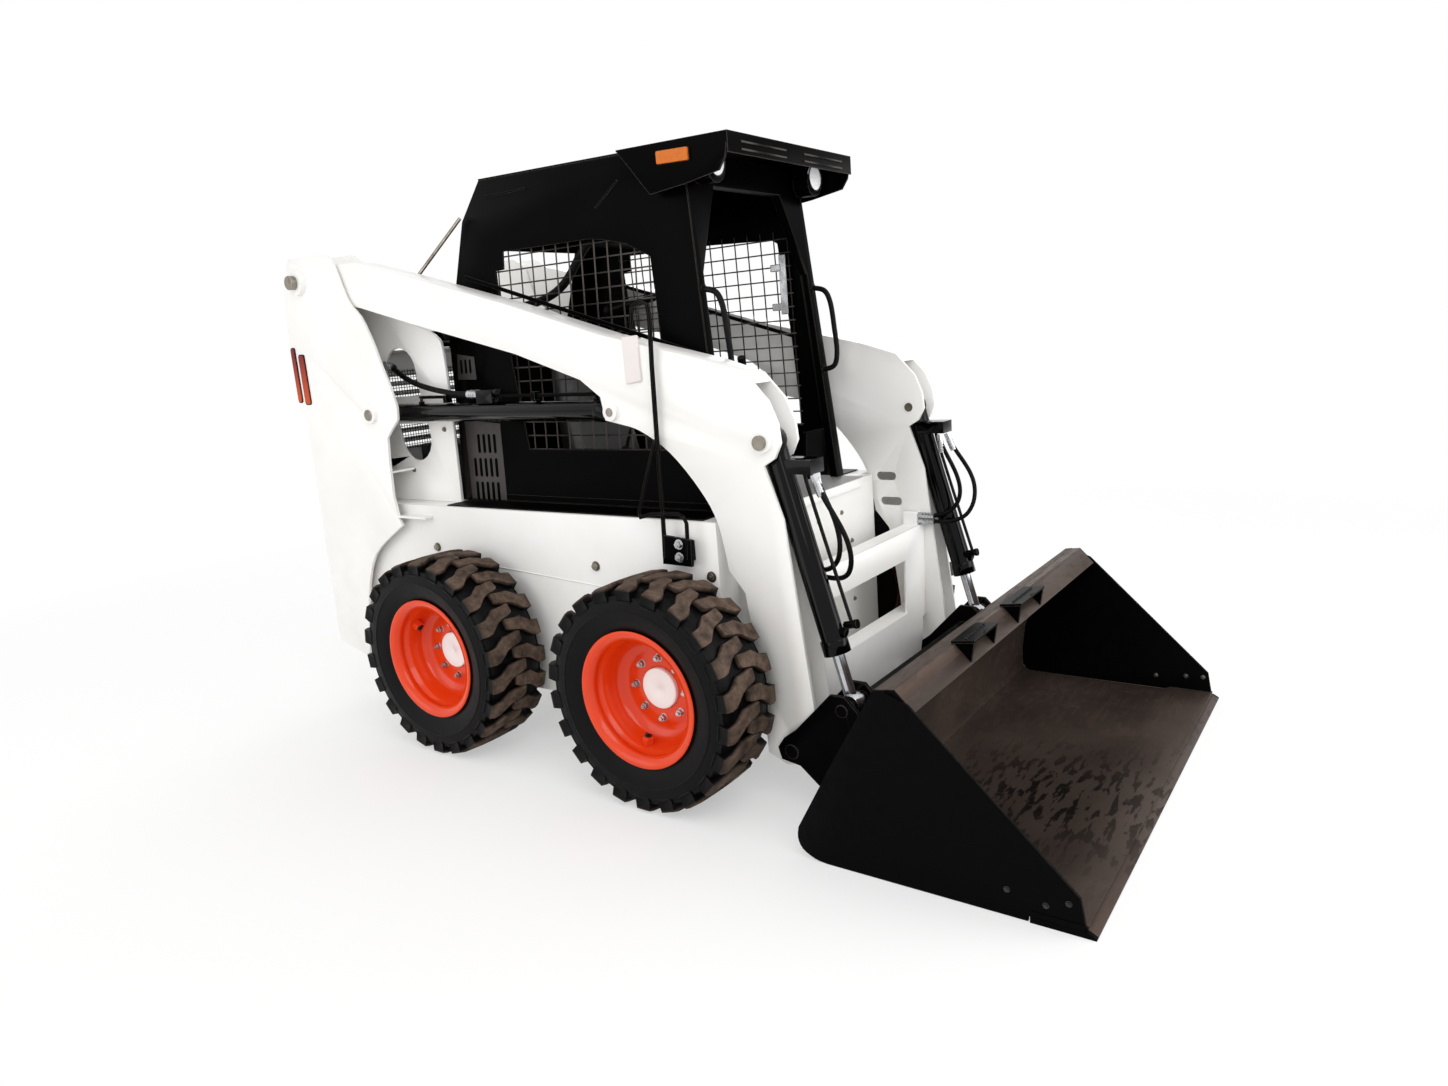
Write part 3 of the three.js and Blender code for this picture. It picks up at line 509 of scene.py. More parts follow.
SEAT = Vinyl("black_seat_vinyl")
AMBER = Lens("amber_marker_lens", "#c95a06", "#d96f0c", glow=0.05)
TAIL = Lens("red_over_amber_tail_lens", "#d04a0a", "#7c0a05", (1.36, 1.54), glow=0.04)
GLASS = Lens("clear_lamp_lens", "#eef0f2", "#f7f8fa", glow=0.25)
# Near-black patches of painted shade standing in for the dark insides of the louvre slots.
SLOT_SHADE = Paint("painted_shade_in_slots", "#010101", "#020202", gloss=0.6, dusty=0.0, shine=0.03, coat=0.0)
LOUVRE = Paint("dark_grey_louvre_enamel", "#393534", "#423d3b", gloss=0.4, dusty=0.2, shine=0.3, coat=0.0)
BRASS = Metal("brass_lever_gate", "#a9834a", "#6f5732", gloss=0.35, relief=0.05)
# A dark disc of painted shade, standing in for the shade behind the wheel's disc.
SHADE_DISC = Paint("dried_mud_behind_wheel", "#17110e", "#231b16", gloss=0.8, dusty=0.0, shine=0.04, coat=0.0)
# Its edge colour darkens its edges.
PALE_BOX = Paint("warm_grey_box_enamel", "#eee7e3", "#e6deda", gloss=0.4, edge="#8f8580")
_made: dict[str, bpy.types.Material] = {}


def material(finish: object) -> bpy.types.Material:
    """Builds a finish once and gives its material.

    Args:
        finish: One of the finishes above.

    Returns:
        Its material.
    """
    if finish.name not in _made:
        _made[finish.name] = finish.build()
    return _made[finish.name]


# ---------------------------------------------------------------- meshes
def new_piece(name: str, mesh: Mesh, finish: object) -> Thing:
    """Links a mesh to the scene as a piece with a finish and a material slot.

    Args:
        name: Name of the piece.
        mesh: Its mesh, in the machine's frame.
        finish: Finish it wears.

    Returns:
        The new object.
    """
    mesh.materials.clear()
    mesh.materials.append(material(finish))
    made = bpy.data.objects.new(name, mesh)
    bpy.context.scene.collection.objects.link(made)
    return made


def soften(made: Thing, width: float, segments: int = 2, angle: float = 34) -> None:
    """Rounds a piece's edges by width millimetres and shades it smooth between them.

    Args:
        made: The piece.
        width: Rounding in millimetres, or 0 for none.
        segments: Steps in each rounding.
        angle: Sharpest fold in degrees that stays as it is.
    """
    for face in made.data.polygons:
        face.use_smooth = True
    if width:
        bevel = made.modifiers.new("soft_edges", "BEVEL")
        bevel.width = width * MM
        bevel.segments = segments
        bevel.limit_method = "ANGLE"
        bevel.angle_limit = math.radians(angle)
        bevel.harden_normals = True


def to_mesh(name: str, body: Faces, recalculate: bool = True) -> Mesh:
    """Closes a bmesh into a mesh with its faces outwards.

    Args:
        name: Name of the mesh.
        body: The faces, which are used up.
        recalculate: Whether to turn its faces outwards.

    Returns:
        The mesh.
    """
    bmesh.ops.remove_doubles(body, verts=body.verts, dist=1e-6)
    if recalculate:
        bmesh.ops.recalc_face_normals(body, faces=body.faces)
    mesh = bpy.data.meshes.new(name)
    body.to_mesh(mesh)
    body.free()
    return mesh


def box(body: Faces, low: Vector, high: Vector) -> None:
    """Adds a box.

    Args:
        body: Where the faces go.
        low: One corner.
        high: The corner across from it.
    """
    size = [max(abs(b - a), 1e-5) for a, b in zip(low, high)]
    middle = (Vector(low) + Vector(high)) / 2
    bmesh.ops.create_cube(body, size=1, matrix=Matrix.Translation(middle) @ Matrix.Diagonal((*size, 1)))


def rod(body: Faces, start: Vector, end: Vector, radius: float, sides: int = 24,
        end_radius: float | None = None) -> None:
    """Adds a round bar, radius in millimetres.

    Args:
        body: Where the faces go.
        start: Middle of one end.
        end: Middle of the other.
        radius: Radius in millimetres.
        sides: Sides round it.
        end_radius: Radius at the other end, if it differs.
    """
    line = Vector(end) - Vector(start)
    turn = line.to_track_quat("Z", "Y").to_matrix().to_4x4()
    matrix = Matrix.Translation((Vector(start) + Vector(end)) / 2) @ turn
    second = radius if end_radius is None else end_radius
    bmesh.ops.create_cone(body, cap_ends=True, segments=sides, radius1=radius * MM, radius2=second * MM,
                          depth=line.length, matrix=matrix)


def prism(body: Faces, outline: Sequence[Vector], along: Vector) -> None:
    """Adds a flat outline given thickness along a vector.

    Args:
        body: Where the faces go.
        outline: Corners of the flat outline.
        along: Which way it is thick, and how far.
    """
    near = [body.verts.new(point) for point in outline]
    far = [body.verts.new(Vector(point) + along) for point in outline]
    body.faces.new(near)
    body.faces.new(list(reversed(far)))
    count = len(near)
    for i in range(count):
        j = (i + 1) % count
        body.faces.new((near[j], near[i], far[i], far[j]))


def lathe(body: Faces, profile: Sequence[tuple[float, float]], centre: Vector, side: float,
          sides: int = 72) -> None:
    """Spins a closed profile about a wheel's axle.

    Args:
        body: Where the faces go.
        profile: Closed loop of radius and distance out from the middle plane, in millimetres.
        centre: Any point on the axle.
        side: -1 for the right, 1 for the left.
        sides: Steps round.
    """
    rings = []
    for step in range(sides):
        angle = 2 * math.pi * step / sides
        aft, up = MM * math.cos(angle), MM * math.sin(angle)
        rings.append([
            body.verts.new((side * x * MM, centre.y + r * aft, centre.z + r * up)) for r, x in profile
        ])
    count = len(profile)
    for step, ring in enumerate(rings):
        after = rings[(step + 1) % sides]
        for i in range(count):
            j = (i + 1) % count
            body.faces.new((ring[i], ring[j], after[j], after[i]))


def smooth_path(points: Sequence[Vector], count: int) -> list[Vector]:
    """Points at even steps along a smooth curve through the given ones.

    Args:
        points: Points that the curve passes.
        count: How many points to give back.

    Returns:
        The points.
    """
    line = [Vector(p) for p in points]
    dense = []
    for i in range(len(line) - 1):
        before = line[max(i - 1, 0)]
        after = line[min(i + 2, len(line) - 1)]
        for step in range(24):
            t = step / 24
            dense.append(0.5 * (2 * line[i] + (line[i + 1] - before) * t
                                + (2 * before - 5 * line[i] + 4 * line[i + 1] - after) * t * t
                                + (3 * line[i] - before - 3 * line[i + 1] + after) * t * t * t))
    dense.append(line[-1])
    reach = [0.0]
    for a, b in zip(dense, dense[1:]):
        reach.append(reach[-1] + (b - a).length)
    result = []
    at = 0
    for i in range(count):
        target = reach[-1] * i / (count - 1)
        while at < len(reach) - 2 and reach[at + 1] < target:
            at += 1
        span = reach[at + 1] - reach[at]
        share = (target - reach[at]) / span if span else 0
        result.append(dense[at].lerp(dense[at + 1], share))
    return result


def sweep(body: Faces, points: Sequence[Vector], radius: float, sides: int = 14) -> None:
    """Adds a round tube along points, radius in millimetres, with closed ends.

    Args:
        body: Where the faces go.
        points: Middle line of the tube.
        radius: Radius in millimetres.
        sides: Sides round it.
    """
    tangent = (points[1] - points[0]).normalized()
    across = tangent.orthogonal().normalized()
    rings = []
    for i, point in enumerate(points):
        a = points[max(i - 1, 0)]
        b = points[min(i + 1, len(points) - 1)]
        direction = (b - a).normalized()
        across = (across - direction * across.dot(direction)).normalized()
        other = direction.cross(across)
        rings.append([
            body.verts.new(point + radius * MM * (across * math.cos(t) + other * math.sin(t)))
            for t in (2 * math.pi * k / sides for k in range(sides))
        ])
    for ring, after in zip(rings, rings[1:]):
        for k in range(sides):
            n = (k + 1) % sides
            body.faces.new((ring[k], ring[n], after[n], after[k]))
    body.faces.new(list(reversed(rings[0])))
    body.faces.new(rings[-1])


def tube(body: Faces, points: Sequence[Point], count: int, radius: float, sides: int) -> None:
    """Adds a round tube on a smooth curve through points, all in millimetres.

    Args:
        body: Where the faces go.
        points: Points that its middle line passes, as place() takes them.
        count: How many cross-sections it has.
        radius: Its radius.
        sides: Sides round it.
    """
    sweep(body, smooth_path([place(*p) for p in points], count), radius, sides)


def piece(name: str, body: Faces, rides: str, finish: object, edge: float = 0.0,
          segments: int = 2) -> Thing:
    """Makes a finished piece of a bmesh.

    Args:
        name: Name of the piece.
        body: Its faces.
        rides: Body it moves with.
        finish: Finish it wears.
        edge: Rounding of its edges in millimetres.
        segments: Steps in each rounding.

    Returns:
        The piece, riding on its body.
    """
    made = new_piece(name, to_mesh(name, body), finish)
    soften(made, edge, segments)
    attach(made, rides)
    LOG.info("%s: %d faces", name, len(made.data.polygons))
    return made


def carved(mesh: Mesh, cutter: Mesh) -> Mesh:
    """Cuts one mesh out of another.

    Args:
        mesh: The mesh to cut.
        cutter: The shape to take out of it.

    Returns:
        What is left of the mesh.
    """
    holders = [bpy.data.objects.new("carving", m) for m in (mesh, cutter)]
    for holder in holders:
        bpy.context.scene.collection.objects.link(holder)
    modifier = holders[0].modifiers.new("cut", "BOOLEAN")
    modifier.object = holders[1]
    modifier.solver = "EXACT"
    bpy.context.view_layer.update()
    graph = bpy.context.evaluated_depsgraph_get()
    left = bpy.data.meshes.new_from_object(holders[0].evaluated_get(graph))
    left.name = mesh.name
    for holder in holders:
        bpy.data.objects.remove(holder)
    return left


def dressed(node: str, rides: str, finish: object, edge: float = 2.0, segments: int = 2,
            cutter: Faces | None = None) -> Thing:
    """Stands a copy of a CAD node with rounded edges in its place.

    Args:
        node: Node it replaces.
        rides: Body it moves with.
        finish: Finish it wears.
        edge: Rounding of its edges in millimetres.
        segments: Steps in each rounding.
        cutter: A body in whose shape the copy is cut out, if any.

    Returns:
        The piece.
    """
    body = bmesh.new()
    body.from_mesh(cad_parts[node].data)
    bmesh.ops.remove_doubles(body, verts=body.verts, dist=2e-5)
    bmesh.ops.dissolve_limit(body, angle_limit=math.radians(0.6), verts=body.verts, edges=body.edges)
    mesh = bpy.data.meshes.new(f"{node}_finished")
    body.to_mesh(mesh)
    body.free()
    if cutter:
        mesh = carved(mesh, to_mesh(f"{node}_cutter", cutter))
    made = new_piece(f"{node}_finished", mesh, finish)
    soften(made, edge, segments)
    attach(made, rides)
    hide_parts(node)
    LOG.info("%s finished: %d faces", node, len(mesh.polygons))
    return made


# ---------------------------------------------------------------- repeated things
def pin_caps(name: str, rides: str, side: Side, ends: Sequence[tuple]) -> Thing:
    """Caps the ends of one side's pins.

    Args:
        name: Name of the piece.
        rides: Body they move with.
        side: Which side.
        ends: Each end's [y, z], the face it starts from, how far out it reaches, and its radius.

    Returns:
        The piece.
    """
    body = bmesh.new()
    for (y, z), face, reach, radius in ends:
        low, high = place(side.value * face, y, z), place(side.value * (reach + 0.6), y, z)
        rod(body, low, high, radius + 0.8, 36)
    return piece(name, body, rides, ZINC, 3, 3)


def interface(tree: Tree, inputs: dict[str, str]) -> dict[str, str]:
    """Gives a geometry tree its named inputs and one output.

    Args:
        tree: The geometry tree.
        inputs: Input name to socket type.

    Returns:
        Input name to the identifier that a modifier sets it by.
    """
    tree.interface.new_socket("Geometry", in_out="OUTPUT", socket_type="NodeSocketGeometry")
    tree.interface.new_socket("Geometry", in_out="INPUT", socket_type="NodeSocketGeometry")
    return {
        name: tree.interface.new_socket(name, in_out="INPUT", socket_type=kind).identifier
        for name, kind in inputs.items()
    }


class Repeat(Enum):
    """Ways in which a small part is repeated."""

    RING = "ring"
    ROW = "row"


class Repeater:
    """Geometry Nodes trees that repeat the part they are given, round an axle or in a row."""

    def __init__(self, kind: Repeat) -> None:
        """Builds the tree.

        Args:
            kind: The way of repeating.
        """
        self.kind = kind
        self.tree = bpy.data.node_groups.new(f"repeat_in_{kind.value}", "GeometryNodeTree")
        self.sockets = interface(self.tree, {
            "Count": "NodeSocketInt", "Step": "NodeSocketVector", "Finish": "NodeSocketMaterial",
        })
        group_in = add_node(self.tree, "NodeGroupInput")
        index = add_node(self.tree, "GeometryNodeInputIndex").outputs[0]
        step = add_node(self.tree, "ShaderNodeVectorMath", {0: group_in.outputs["Step"]}, operation="SCALE")
        self.tree.links.new(index, step.inputs["Scale"])
        points = add_node(self.tree, "GeometryNodePoints", {"Count": group_in.outputs["Count"]})
        inputs = {"Points": points.outputs[0], "Instance": group_in.outputs["Geometry"]}
        if kind is Repeat.RING:
            inputs["Rotation"] = step.outputs[0]
        else:
            shifted = add_node(self.tree, "GeometryNodeSetPosition", {
                "Geometry": points.outputs[0], "Offset": step.outputs[0],
            })
            inputs["Points"] = shifted.outputs[0]
        copies = add_node(self.tree, "GeometryNodeInstanceOnPoints", inputs)
        real = add_node(self.tree, "GeometryNodeRealizeInstances", {0: copies.outputs[0]})
        finish = add_node(self.tree, "GeometryNodeSetMaterial", {
            "Geometry": real.outputs[0], "Material": group_in.outputs["Finish"],
        })
        add_node(self.tree, "NodeGroupOutput", {0: finish.outputs[0]})

    def run(self, item: Mesh, count: int, step: Point, finish: object,
            move: Vector | None = None) -> Mesh:
        """Repeats a part.

        Args:
            item: Mesh of the part, about the origin.
            count: How many there are.
            step: Turn in radians, or shift in metres, from one to the next.
            finish: Finish they wear.
            move: Where the whole lot goes.

        Returns:
            One mesh of them all.
        """
        carrier = bpy.data.objects.new("repeated", item)
        bpy.context.scene.collection.objects.link(carrier)
        modifier = carrier.modifiers.new("repeat", "NODES")
        modifier.node_group = self.tree
        modifier[self.sockets["Count"]] = count
        modifier[self.sockets["Step"]] = step
        modifier[self.sockets["Finish"]] = material(finish)
        bpy.context.view_layer.update()
        evaluated = carrier.evaluated_get(bpy.context.evaluated_depsgraph_get())
        mesh = bpy.data.meshes.new_from_object(evaluated)
        carrier.modifiers.remove(modifier)
        bpy.data.objects.remove(carrier)
        if move is not None:
            mesh.transform(Matrix.Translation(move))
        return mesh


RING = Repeater(Repeat.RING)
ROW = Repeater(Repeat.ROW)


def merged(meshes: Iterable[Mesh]) -> Faces:
    """Puts several meshes into one bmesh.

    Args:
        meshes: The meshes, which are used up.

    Returns:
        The bmesh.
    """
    body = bmesh.new()
    for mesh in meshes:
        body.from_mesh(mesh)
        bpy.data.meshes.remove(mesh)
    return body


def bolt(across: float, tall: float) -> Mesh:
    """A hex bolt head on its washer, standing along +X at the origin.

    Args:
        across: Width across its flats in millimetres.
        tall: Height of the head in millimetres.

    Returns:
        Its mesh.
    """
    body = bmesh.new()
    rod(body, Vector((0, 0, 0)), Vector((2.2 * MM, 0, 0)), across * 0.72, 20)
    rod(body, Vector((2 * MM, 0, 0)), Vector(((tall + 2) * MM, 0, 0)), across * 0.57, 6, across * 0.55)
    rod(body, Vector(((tall + 1.8) * MM, 0, 0)), Vector(((tall + 4) * MM, 0, 0)), across * 0.28, 12,
        across * 0.24)
    return to_mesh("bolt", body)


def bolts(name: str, rides: str, places: Sequence[tuple[Vector, Vector]], across: float = 19, tall: float = 9,
          finish: object = ZINC) -> Thing:
    """Bolt heads at given places.

    Args:
        name: Name of the piece.
        rides: Body they move with.
        places: Pairs of the point under the head and the way it faces.
        across: Width across the flats in millimetres.
        tall: Height of the head in millimetres.
        finish: Finish they wear.

    Returns:
        The piece.
    """
    body = bmesh.new()
    for i, (point, way) in enumerate(places):
        head = ROW.run(bolt(across, tall), 1, (0, 0, 0), finish)
        turn = Vector((1, 0, 0)).rotation_difference(Vector(way).normalized()).to_matrix().to_4x4()
        head.transform(Matrix.Translation(point) @ turn @ Matrix.Rotation(0.4 * i, 4, "X"))
        body.from_mesh(head)
        bpy.data.meshes.remove(head)
    return piece(name, body, rides, finish, 0.6, 1)


# ---------------------------------------------------------------- studio
@dataclass
class Studio:
    """Camera, floor and lamps."""

    lens: float = 24.205
    position: Point = (-3.04496, -2.26753, 1.49590)
    heading: float = 54.093
    dip: float = 12.003
    roll: float = 4.303
    # Each lamp: its name, place, width in metres and power in watts.
    lamps: tuple = (
        ("key", (-3.2, -3.4, 4.6), 4.0, 100),
        ("fill", (-5.0, 2.6, 2.6), 3.5, 42),
        ("front", (1.2, -5.2, 2.4), 3.0, 85),
        ("back", (4.2, 2.5, 3.8), 3.5, 70),
    )

    def camera(self) -> None:
        """Sets up the camera at the machine's front right corner."""
        yaw, pitch, roll = (math.radians(a) for a in (self.heading, self.dip, self.roll))
        ahead = Vector((math.sin(yaw) * math.cos(pitch), math.cos(yaw) * math.cos(pitch), -math.sin(pitch)))
        right = ahead.cross(Vector((0, 0, 1))).normalized()
        down = ahead.cross(right)
        across = math.cos(roll) * right + math.sin(roll) * down
        lower = -math.sin(roll) * right + math.cos(roll) * down
        data = bpy.data.cameras.new("camera")
        data.sensor_width = 36
        data.lens = self.lens
        data.clip_end = 200
        camera = bpy.data.objects.new("camera", data)
        bpy.context.scene.collection.objects.link(camera)
        turn = Matrix((across, -lower, -ahead)).transposed().to_4x4()
        camera.matrix_world = Matrix.Translation(self.position) @ turn
        bpy.context.scene.camera = camera

    def floor(self) -> None:
        """Lays the plain pale floor."""
        body = bmesh.new()
        bmesh.ops.create_grid(body, x_segments=1, y_segments=1, size=40)
        mesh = to_mesh("floor", body, recalculate=False)
        surface = Surface("pale_floor", Roughness=0.9)
        tree = surface.tree
        surface.shader.inputs["Base Color"].default_value = linear("#f6f6f5")
        path = add_node(tree, "ShaderNodeLightPath")
        glow = add_node(tree, "ShaderNodeEmission", {"Color": linear("#ffffff"), "Strength": 1.0})
        far = add_node(tree, "ShaderNodeVectorMath", {0: surface.coordinates}, operation="LENGTH").outputs[1]
        fade = add_node(tree, "ShaderNodeMapRange", {0: far, 1: 1.5, 2: 6.0, 3: 0.45, 4: 1.0}).outputs[0]
        share = maths(tree, "MULTIPLY", path.outputs["Is Camera Ray"], fade)
        lit = {0: share, 1: surface.shader.outputs[0], 2: glow.outputs[0]}
        blend = add_node(tree, "ShaderNodeMixShader", lit)
        tree.links.new(blend.outputs[0], tree.nodes["Material Output"].inputs["Surface"])
        mesh.materials.append(surface.material)
        made = bpy.data.objects.new("floor", mesh)
        bpy.context.scene.collection.objects.link(made)

    def light(self) -> None:
        """Hangs the soft lamps and sets the surrounding light."""
        for name, spot, size, power in self.lamps:
            data = bpy.data.lights.new(name, "AREA")
            data.size = size
            data.energy = power
            lamp = bpy.data.objects.new(name, data)
            lamp.location = spot
            lamp.rotation_euler = (Vector((0, 0, 0.8)) - Vector(spot)).to_track_quat("-Z", "Y").to_euler()
            bpy.context.scene.collection.objects.link(lamp)
        world = bpy.data.worlds.new("studio")
        bpy.context.scene.world = world
        world.use_nodes = True
        tree = world.node_tree
        path = add_node(tree, "ShaderNodeLightPath")
        seen = maths(tree, "ADD", path.outputs["Is Camera Ray"], maths(
            tree, "ADD", path.outputs["Is Glossy Ray"], path.outputs["Is Transmission Ray"]))
        level = add_node(tree, "ShaderNodeMapRange", {0: seen, 3: 0.8, 4: 1.0}).outputs[0]
        tree.nodes["Background"].inputs["Color"].default_value = linear("#ffffff")
        tree.links.new(level, tree.nodes["Background"].inputs["Strength"])
        bpy.context.scene.view_settings.view_transform = "Standard"

    def build(self) -> None:
        """Sets up everything that isn't the machine."""
        self.camera()
        self.floor()
        self.light()


# ---------------------------------------------------------------- hoses
@dataclass
class Hoses:
    """Hydraulic hoses between fixed fittings, with their crimped ends.

    The routes are those of the left side, in millimetres as place() takes them.
    """

    tilt_radius: float = 8.0
    lift_radius: float = 11.0
    tilt_upper: tuple = (
        (446, -401, 751), (446, -434, 751), (454, -470, 752), (463, -502, 759), (472, -530, 776),
        (479, -549, 801), (483, -558, 832), (483, -558, 866), (481, -549, 905), (478, -533, 945),
        (476, -513, 985), (474, -496, 1022), (474, -487, 1048), (474, -485, 1061),
    )
    tilt_lower: tuple = (
        (446, -401, 729), (446, -440, 729), (450, -480, 729), (459, -520, 730), (470, -553, 737),
        (482, -580, 753), (493, -597, 778), (503, -606, 808), (512, -607, 842), (519, -600, 878),
        (523, -584, 915), (523, -563, 950), (521, -541, 983), (518, -521, 1015), (515, -506, 1044),
        (514, -499, 1061),
    )
    lift_run: tuple = (
        (474, 1560, 1478), (480, 1500, 1462), (492, 1420, 1424), (506, 1330, 1396), (518, 1235, 1376),
        (524, 1150, 1362), (524, 1060, 1350), (524, 936, 1345),
    )

    def hose(self, node: str, points: Sequence[Point], rides: str, radius: float) -> None:
        """Makes one hose with a crimped ferrule and nut at each end.

        Args:
            node: Node the hose stands for.
            points: Its route in millimetres.
            rides: Body it moves with.
            radius: Half its thickness in millimetres.
        """
        route = smooth_path([place(*p) for p in points], 40)
        body = bmesh.new()
        sweep(body, route, radius, 16)
        made = piece(f"{node}_rubber", body, rides, HOSE)
        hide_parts(node)
        ends = bmesh.new()
        for line in (route, route[::-1]):
            way = (line[1] - line[0]).normalized()
            rod(ends, line[0] - way * 0.004, line[0] + way * 0.020, radius * 1.6, 6)
            rod(ends, line[0] + way * 0.018, line[0] + way * 0.066, radius * 1.45, 24)
            for step in (0.026, 0.038, 0.050):
                rod(ends, line[0] + way * step, line[0] + way * (step + 0.005), radius * 1.6, 24)
        fittings = piece(f"{node}_fittings", ends, rides, BRIGHT, 0.5)

    def build(self) -> None:
        """Makes all the hoses."""
        for side in Side:
            runs = (
                (f"tilt_hose_{side.label}_upper", self.tilt_upper, "lift_arms", self.tilt_radius),
                (f"tilt_hose_{side.label}_lower", self.tilt_lower, "lift_arms", self.tilt_radius),
                (f"lift_hose_{side.label}", self.lift_run, f"lift_barrel_{side.label}", self.lift_radius),
            )
            for node, run, rides, radius in runs:
                self.hose(node, [(side.value * x, y, z) for x, y, z in run], rides, radius)


# ---------------------------------------------------------------- wheels
@dataclass
class Wheel:
    """One wheel: a lugged tyre on a dished rim, with nuts, hub cap and valve."""

    end: str
    side: Side
    tyre_inner: float = 608.0
    tyre_width: float = 264.0
    tyre_radius: float = 381.0
    bead_radius: float = 212.0
    flange_radius: float = 231.0
    disc: float = 722.0
    cap: float = 738.0
    cap_radius: float = 70.0
    # How far out the dark disc of painted shade in the rim's inside begins and ends.
    shade_disc: tuple[float, float] = (700.0, 704.0)
    lugs: int = 22
    lug_depth: float = 21.0
    nuts: int = 8
    nut_circle: float = 104.0
    centre: Vector = field(init=False)
    body: str = field(init=False)

    def __post_init__(self) -> None:
        """Finds the wheel's axle and body in the frame."""
        self.body = f"wheel_{self.end}_{self.side.label}"
        low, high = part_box(f"hub_{self.end}_{self.side.label}")
        self.centre = (Vector(low) + Vector(high)) / 2

    @property
    def axle(self) -> Vector:
        """The point of the axle on the machine's middle plane."""
        return Vector((0, self.centre.y, self.centre.z))

    @property
    def middle(self) -> float:
        """Distance of the tyre's middle line out from the machine's middle, in millimetres."""
        return self.tyre_inner + self.tyre_width / 2

    def crown(self, across: float) -> float:
        """Finds the radius of the tread's ground between the lugs.

        Args:
            across: Distance from the tyre's middle line in millimetres.

        Returns:
            The radius in millimetres.
        """
        share = min(abs(across) / (self.tyre_width / 2), 1.0)
        return self.tyre_radius - self.lug_depth - 6 * share ** 2 - 16 * max(share - 0.72, 0) / 0.28

    def tyre(self) -> None:
        """Builds the carcass and its lugs."""
        half = self.tyre_width / 2
        flange, ground = self.flange_radius, self.tyre_radius
        outer = [
            (self.bead_radius + 2, half - 26), (flange + 3, half - 23), (flange + 14, half - 17),
            (flange + 34, half - 9), (flange + 62, half - 3), (flange + 64, half - 0.5),
            (flange + 69, half - 0.5), (flange + 71, half - 2.4), (flange + 98, half - 4),
            (ground - 44, half - 7), (ground - 38, half - 6), (ground - 34, half - 9),
            (self.crown(half * 0.86) - 2, half * 0.88), (self.crown(half * 0.72), half * 0.72),
        ]
        top = [(self.crown(half * k), half * k) for k in (0.5, 0.25, 0, -0.25, -0.5)]
        inner = [(r, -x) for r, x in reversed(outer)]
        lining = [(self.bead_radius + 2, -(half - 44)), (ground - 56, -(half - 34)),
                  (ground - 56, half - 34), (self.bead_radius + 2, half - 44)]
        loop = [(r, x + self.middle) for r, x in [*outer, *top, *inner, *lining]]
        carcass = bmesh.new()
        lathe(carcass, loop, self.centre, self.side.value, 96)
        finish = TyreRubber(f"tyre_rubber_{self.end}", self.centre.y, self.centre.z, (ground - 16) * MM)
        parts = [to_mesh("carcass", carcass)]
        for direction in (1, -1):
            turn = (2 * math.pi / self.lugs, 0, 0)
            parts.append(RING.run(self.lug(direction), self.lugs, turn, finish, self.axle))
        body = merged(parts)
        made = piece(f"tyre_{self.end}_{self.side.label}_lugged", body, self.body, finish, 1.6, 2)
        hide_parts(f"tyre_{self.end}_{self.side.label}")

    def lug(self, direction: int) -> Mesh:
        """One tread lug, reaching from a shoulder in past the middle with a kink.

        Args:
            direction: 1 for the outer shoulder, -1 for the inner.

        Returns:
            Its mesh, standing over the axle at the origin.
        """
        half = self.tyre_width / 2
        pitch = 2 * math.pi / self.lugs
        lean = 0.5 * pitch if direction < 0 else 0.0
        # Each cross-section: its share of the way out, its lead in pitches and its width.
        line = [(1.0, 0.00, 56), (0.84, 0.00, 58), (0.68, 0.03, 58), (0.38, 0.27, 54), (0.24, 0.30, 46),
                (0.04, 0.33, 44), (-0.10, 0.36, 42), (-0.18, 0.38, 34)]
        body = bmesh.new()
        rings = []
        for share, shift, wide in line:
            across = direction * share * half
            middle = lean + shift * pitch * 1.15
            ground = self.crown(across) - 5
            top = self.tyre_radius - 4.5 * share ** 2 - (5 if share > 0.9 else 0)
            ring = []
            for radius, spread in ((ground, wide * 0.5 + 5), (top, wide * 0.5), (top, -wide * 0.5),
                                   (ground, -wide * 0.5 - 5)):
                angle = middle + spread / self.tyre_radius
                out = self.side.value * (self.middle + across - (1 if share == 1.0 else 0) * direction)
                at = Vector((out, math.sin(angle) * radius, math.cos(angle) * radius)) * MM
                ring.append(body.verts.new(at))
            rings.append(ring)
        foot = []
        out = self.side.value * (self.middle + direction * (half - 5))
        for deep, spread in ((58, 25), (38, 25), (38, -25), (58, -25)):
            radius = self.tyre_radius - deep
            angle = lean + spread / self.tyre_radius
            at = Vector((out, math.sin(angle) * radius, math.cos(angle) * radius)) * MM
            foot.append(body.verts.new(at))
        rings.insert(0, foot)
        for near, far in zip(rings, rings[1:]):
            for i in range(4):
                j = (i + 1) % 4
                body.faces.new((near[i], near[j], far[j], far[i]))
        body.faces.new(rings[0])
        body.faces.new(list(reversed(rings[-1])))
        return to_mesh("lug", body)

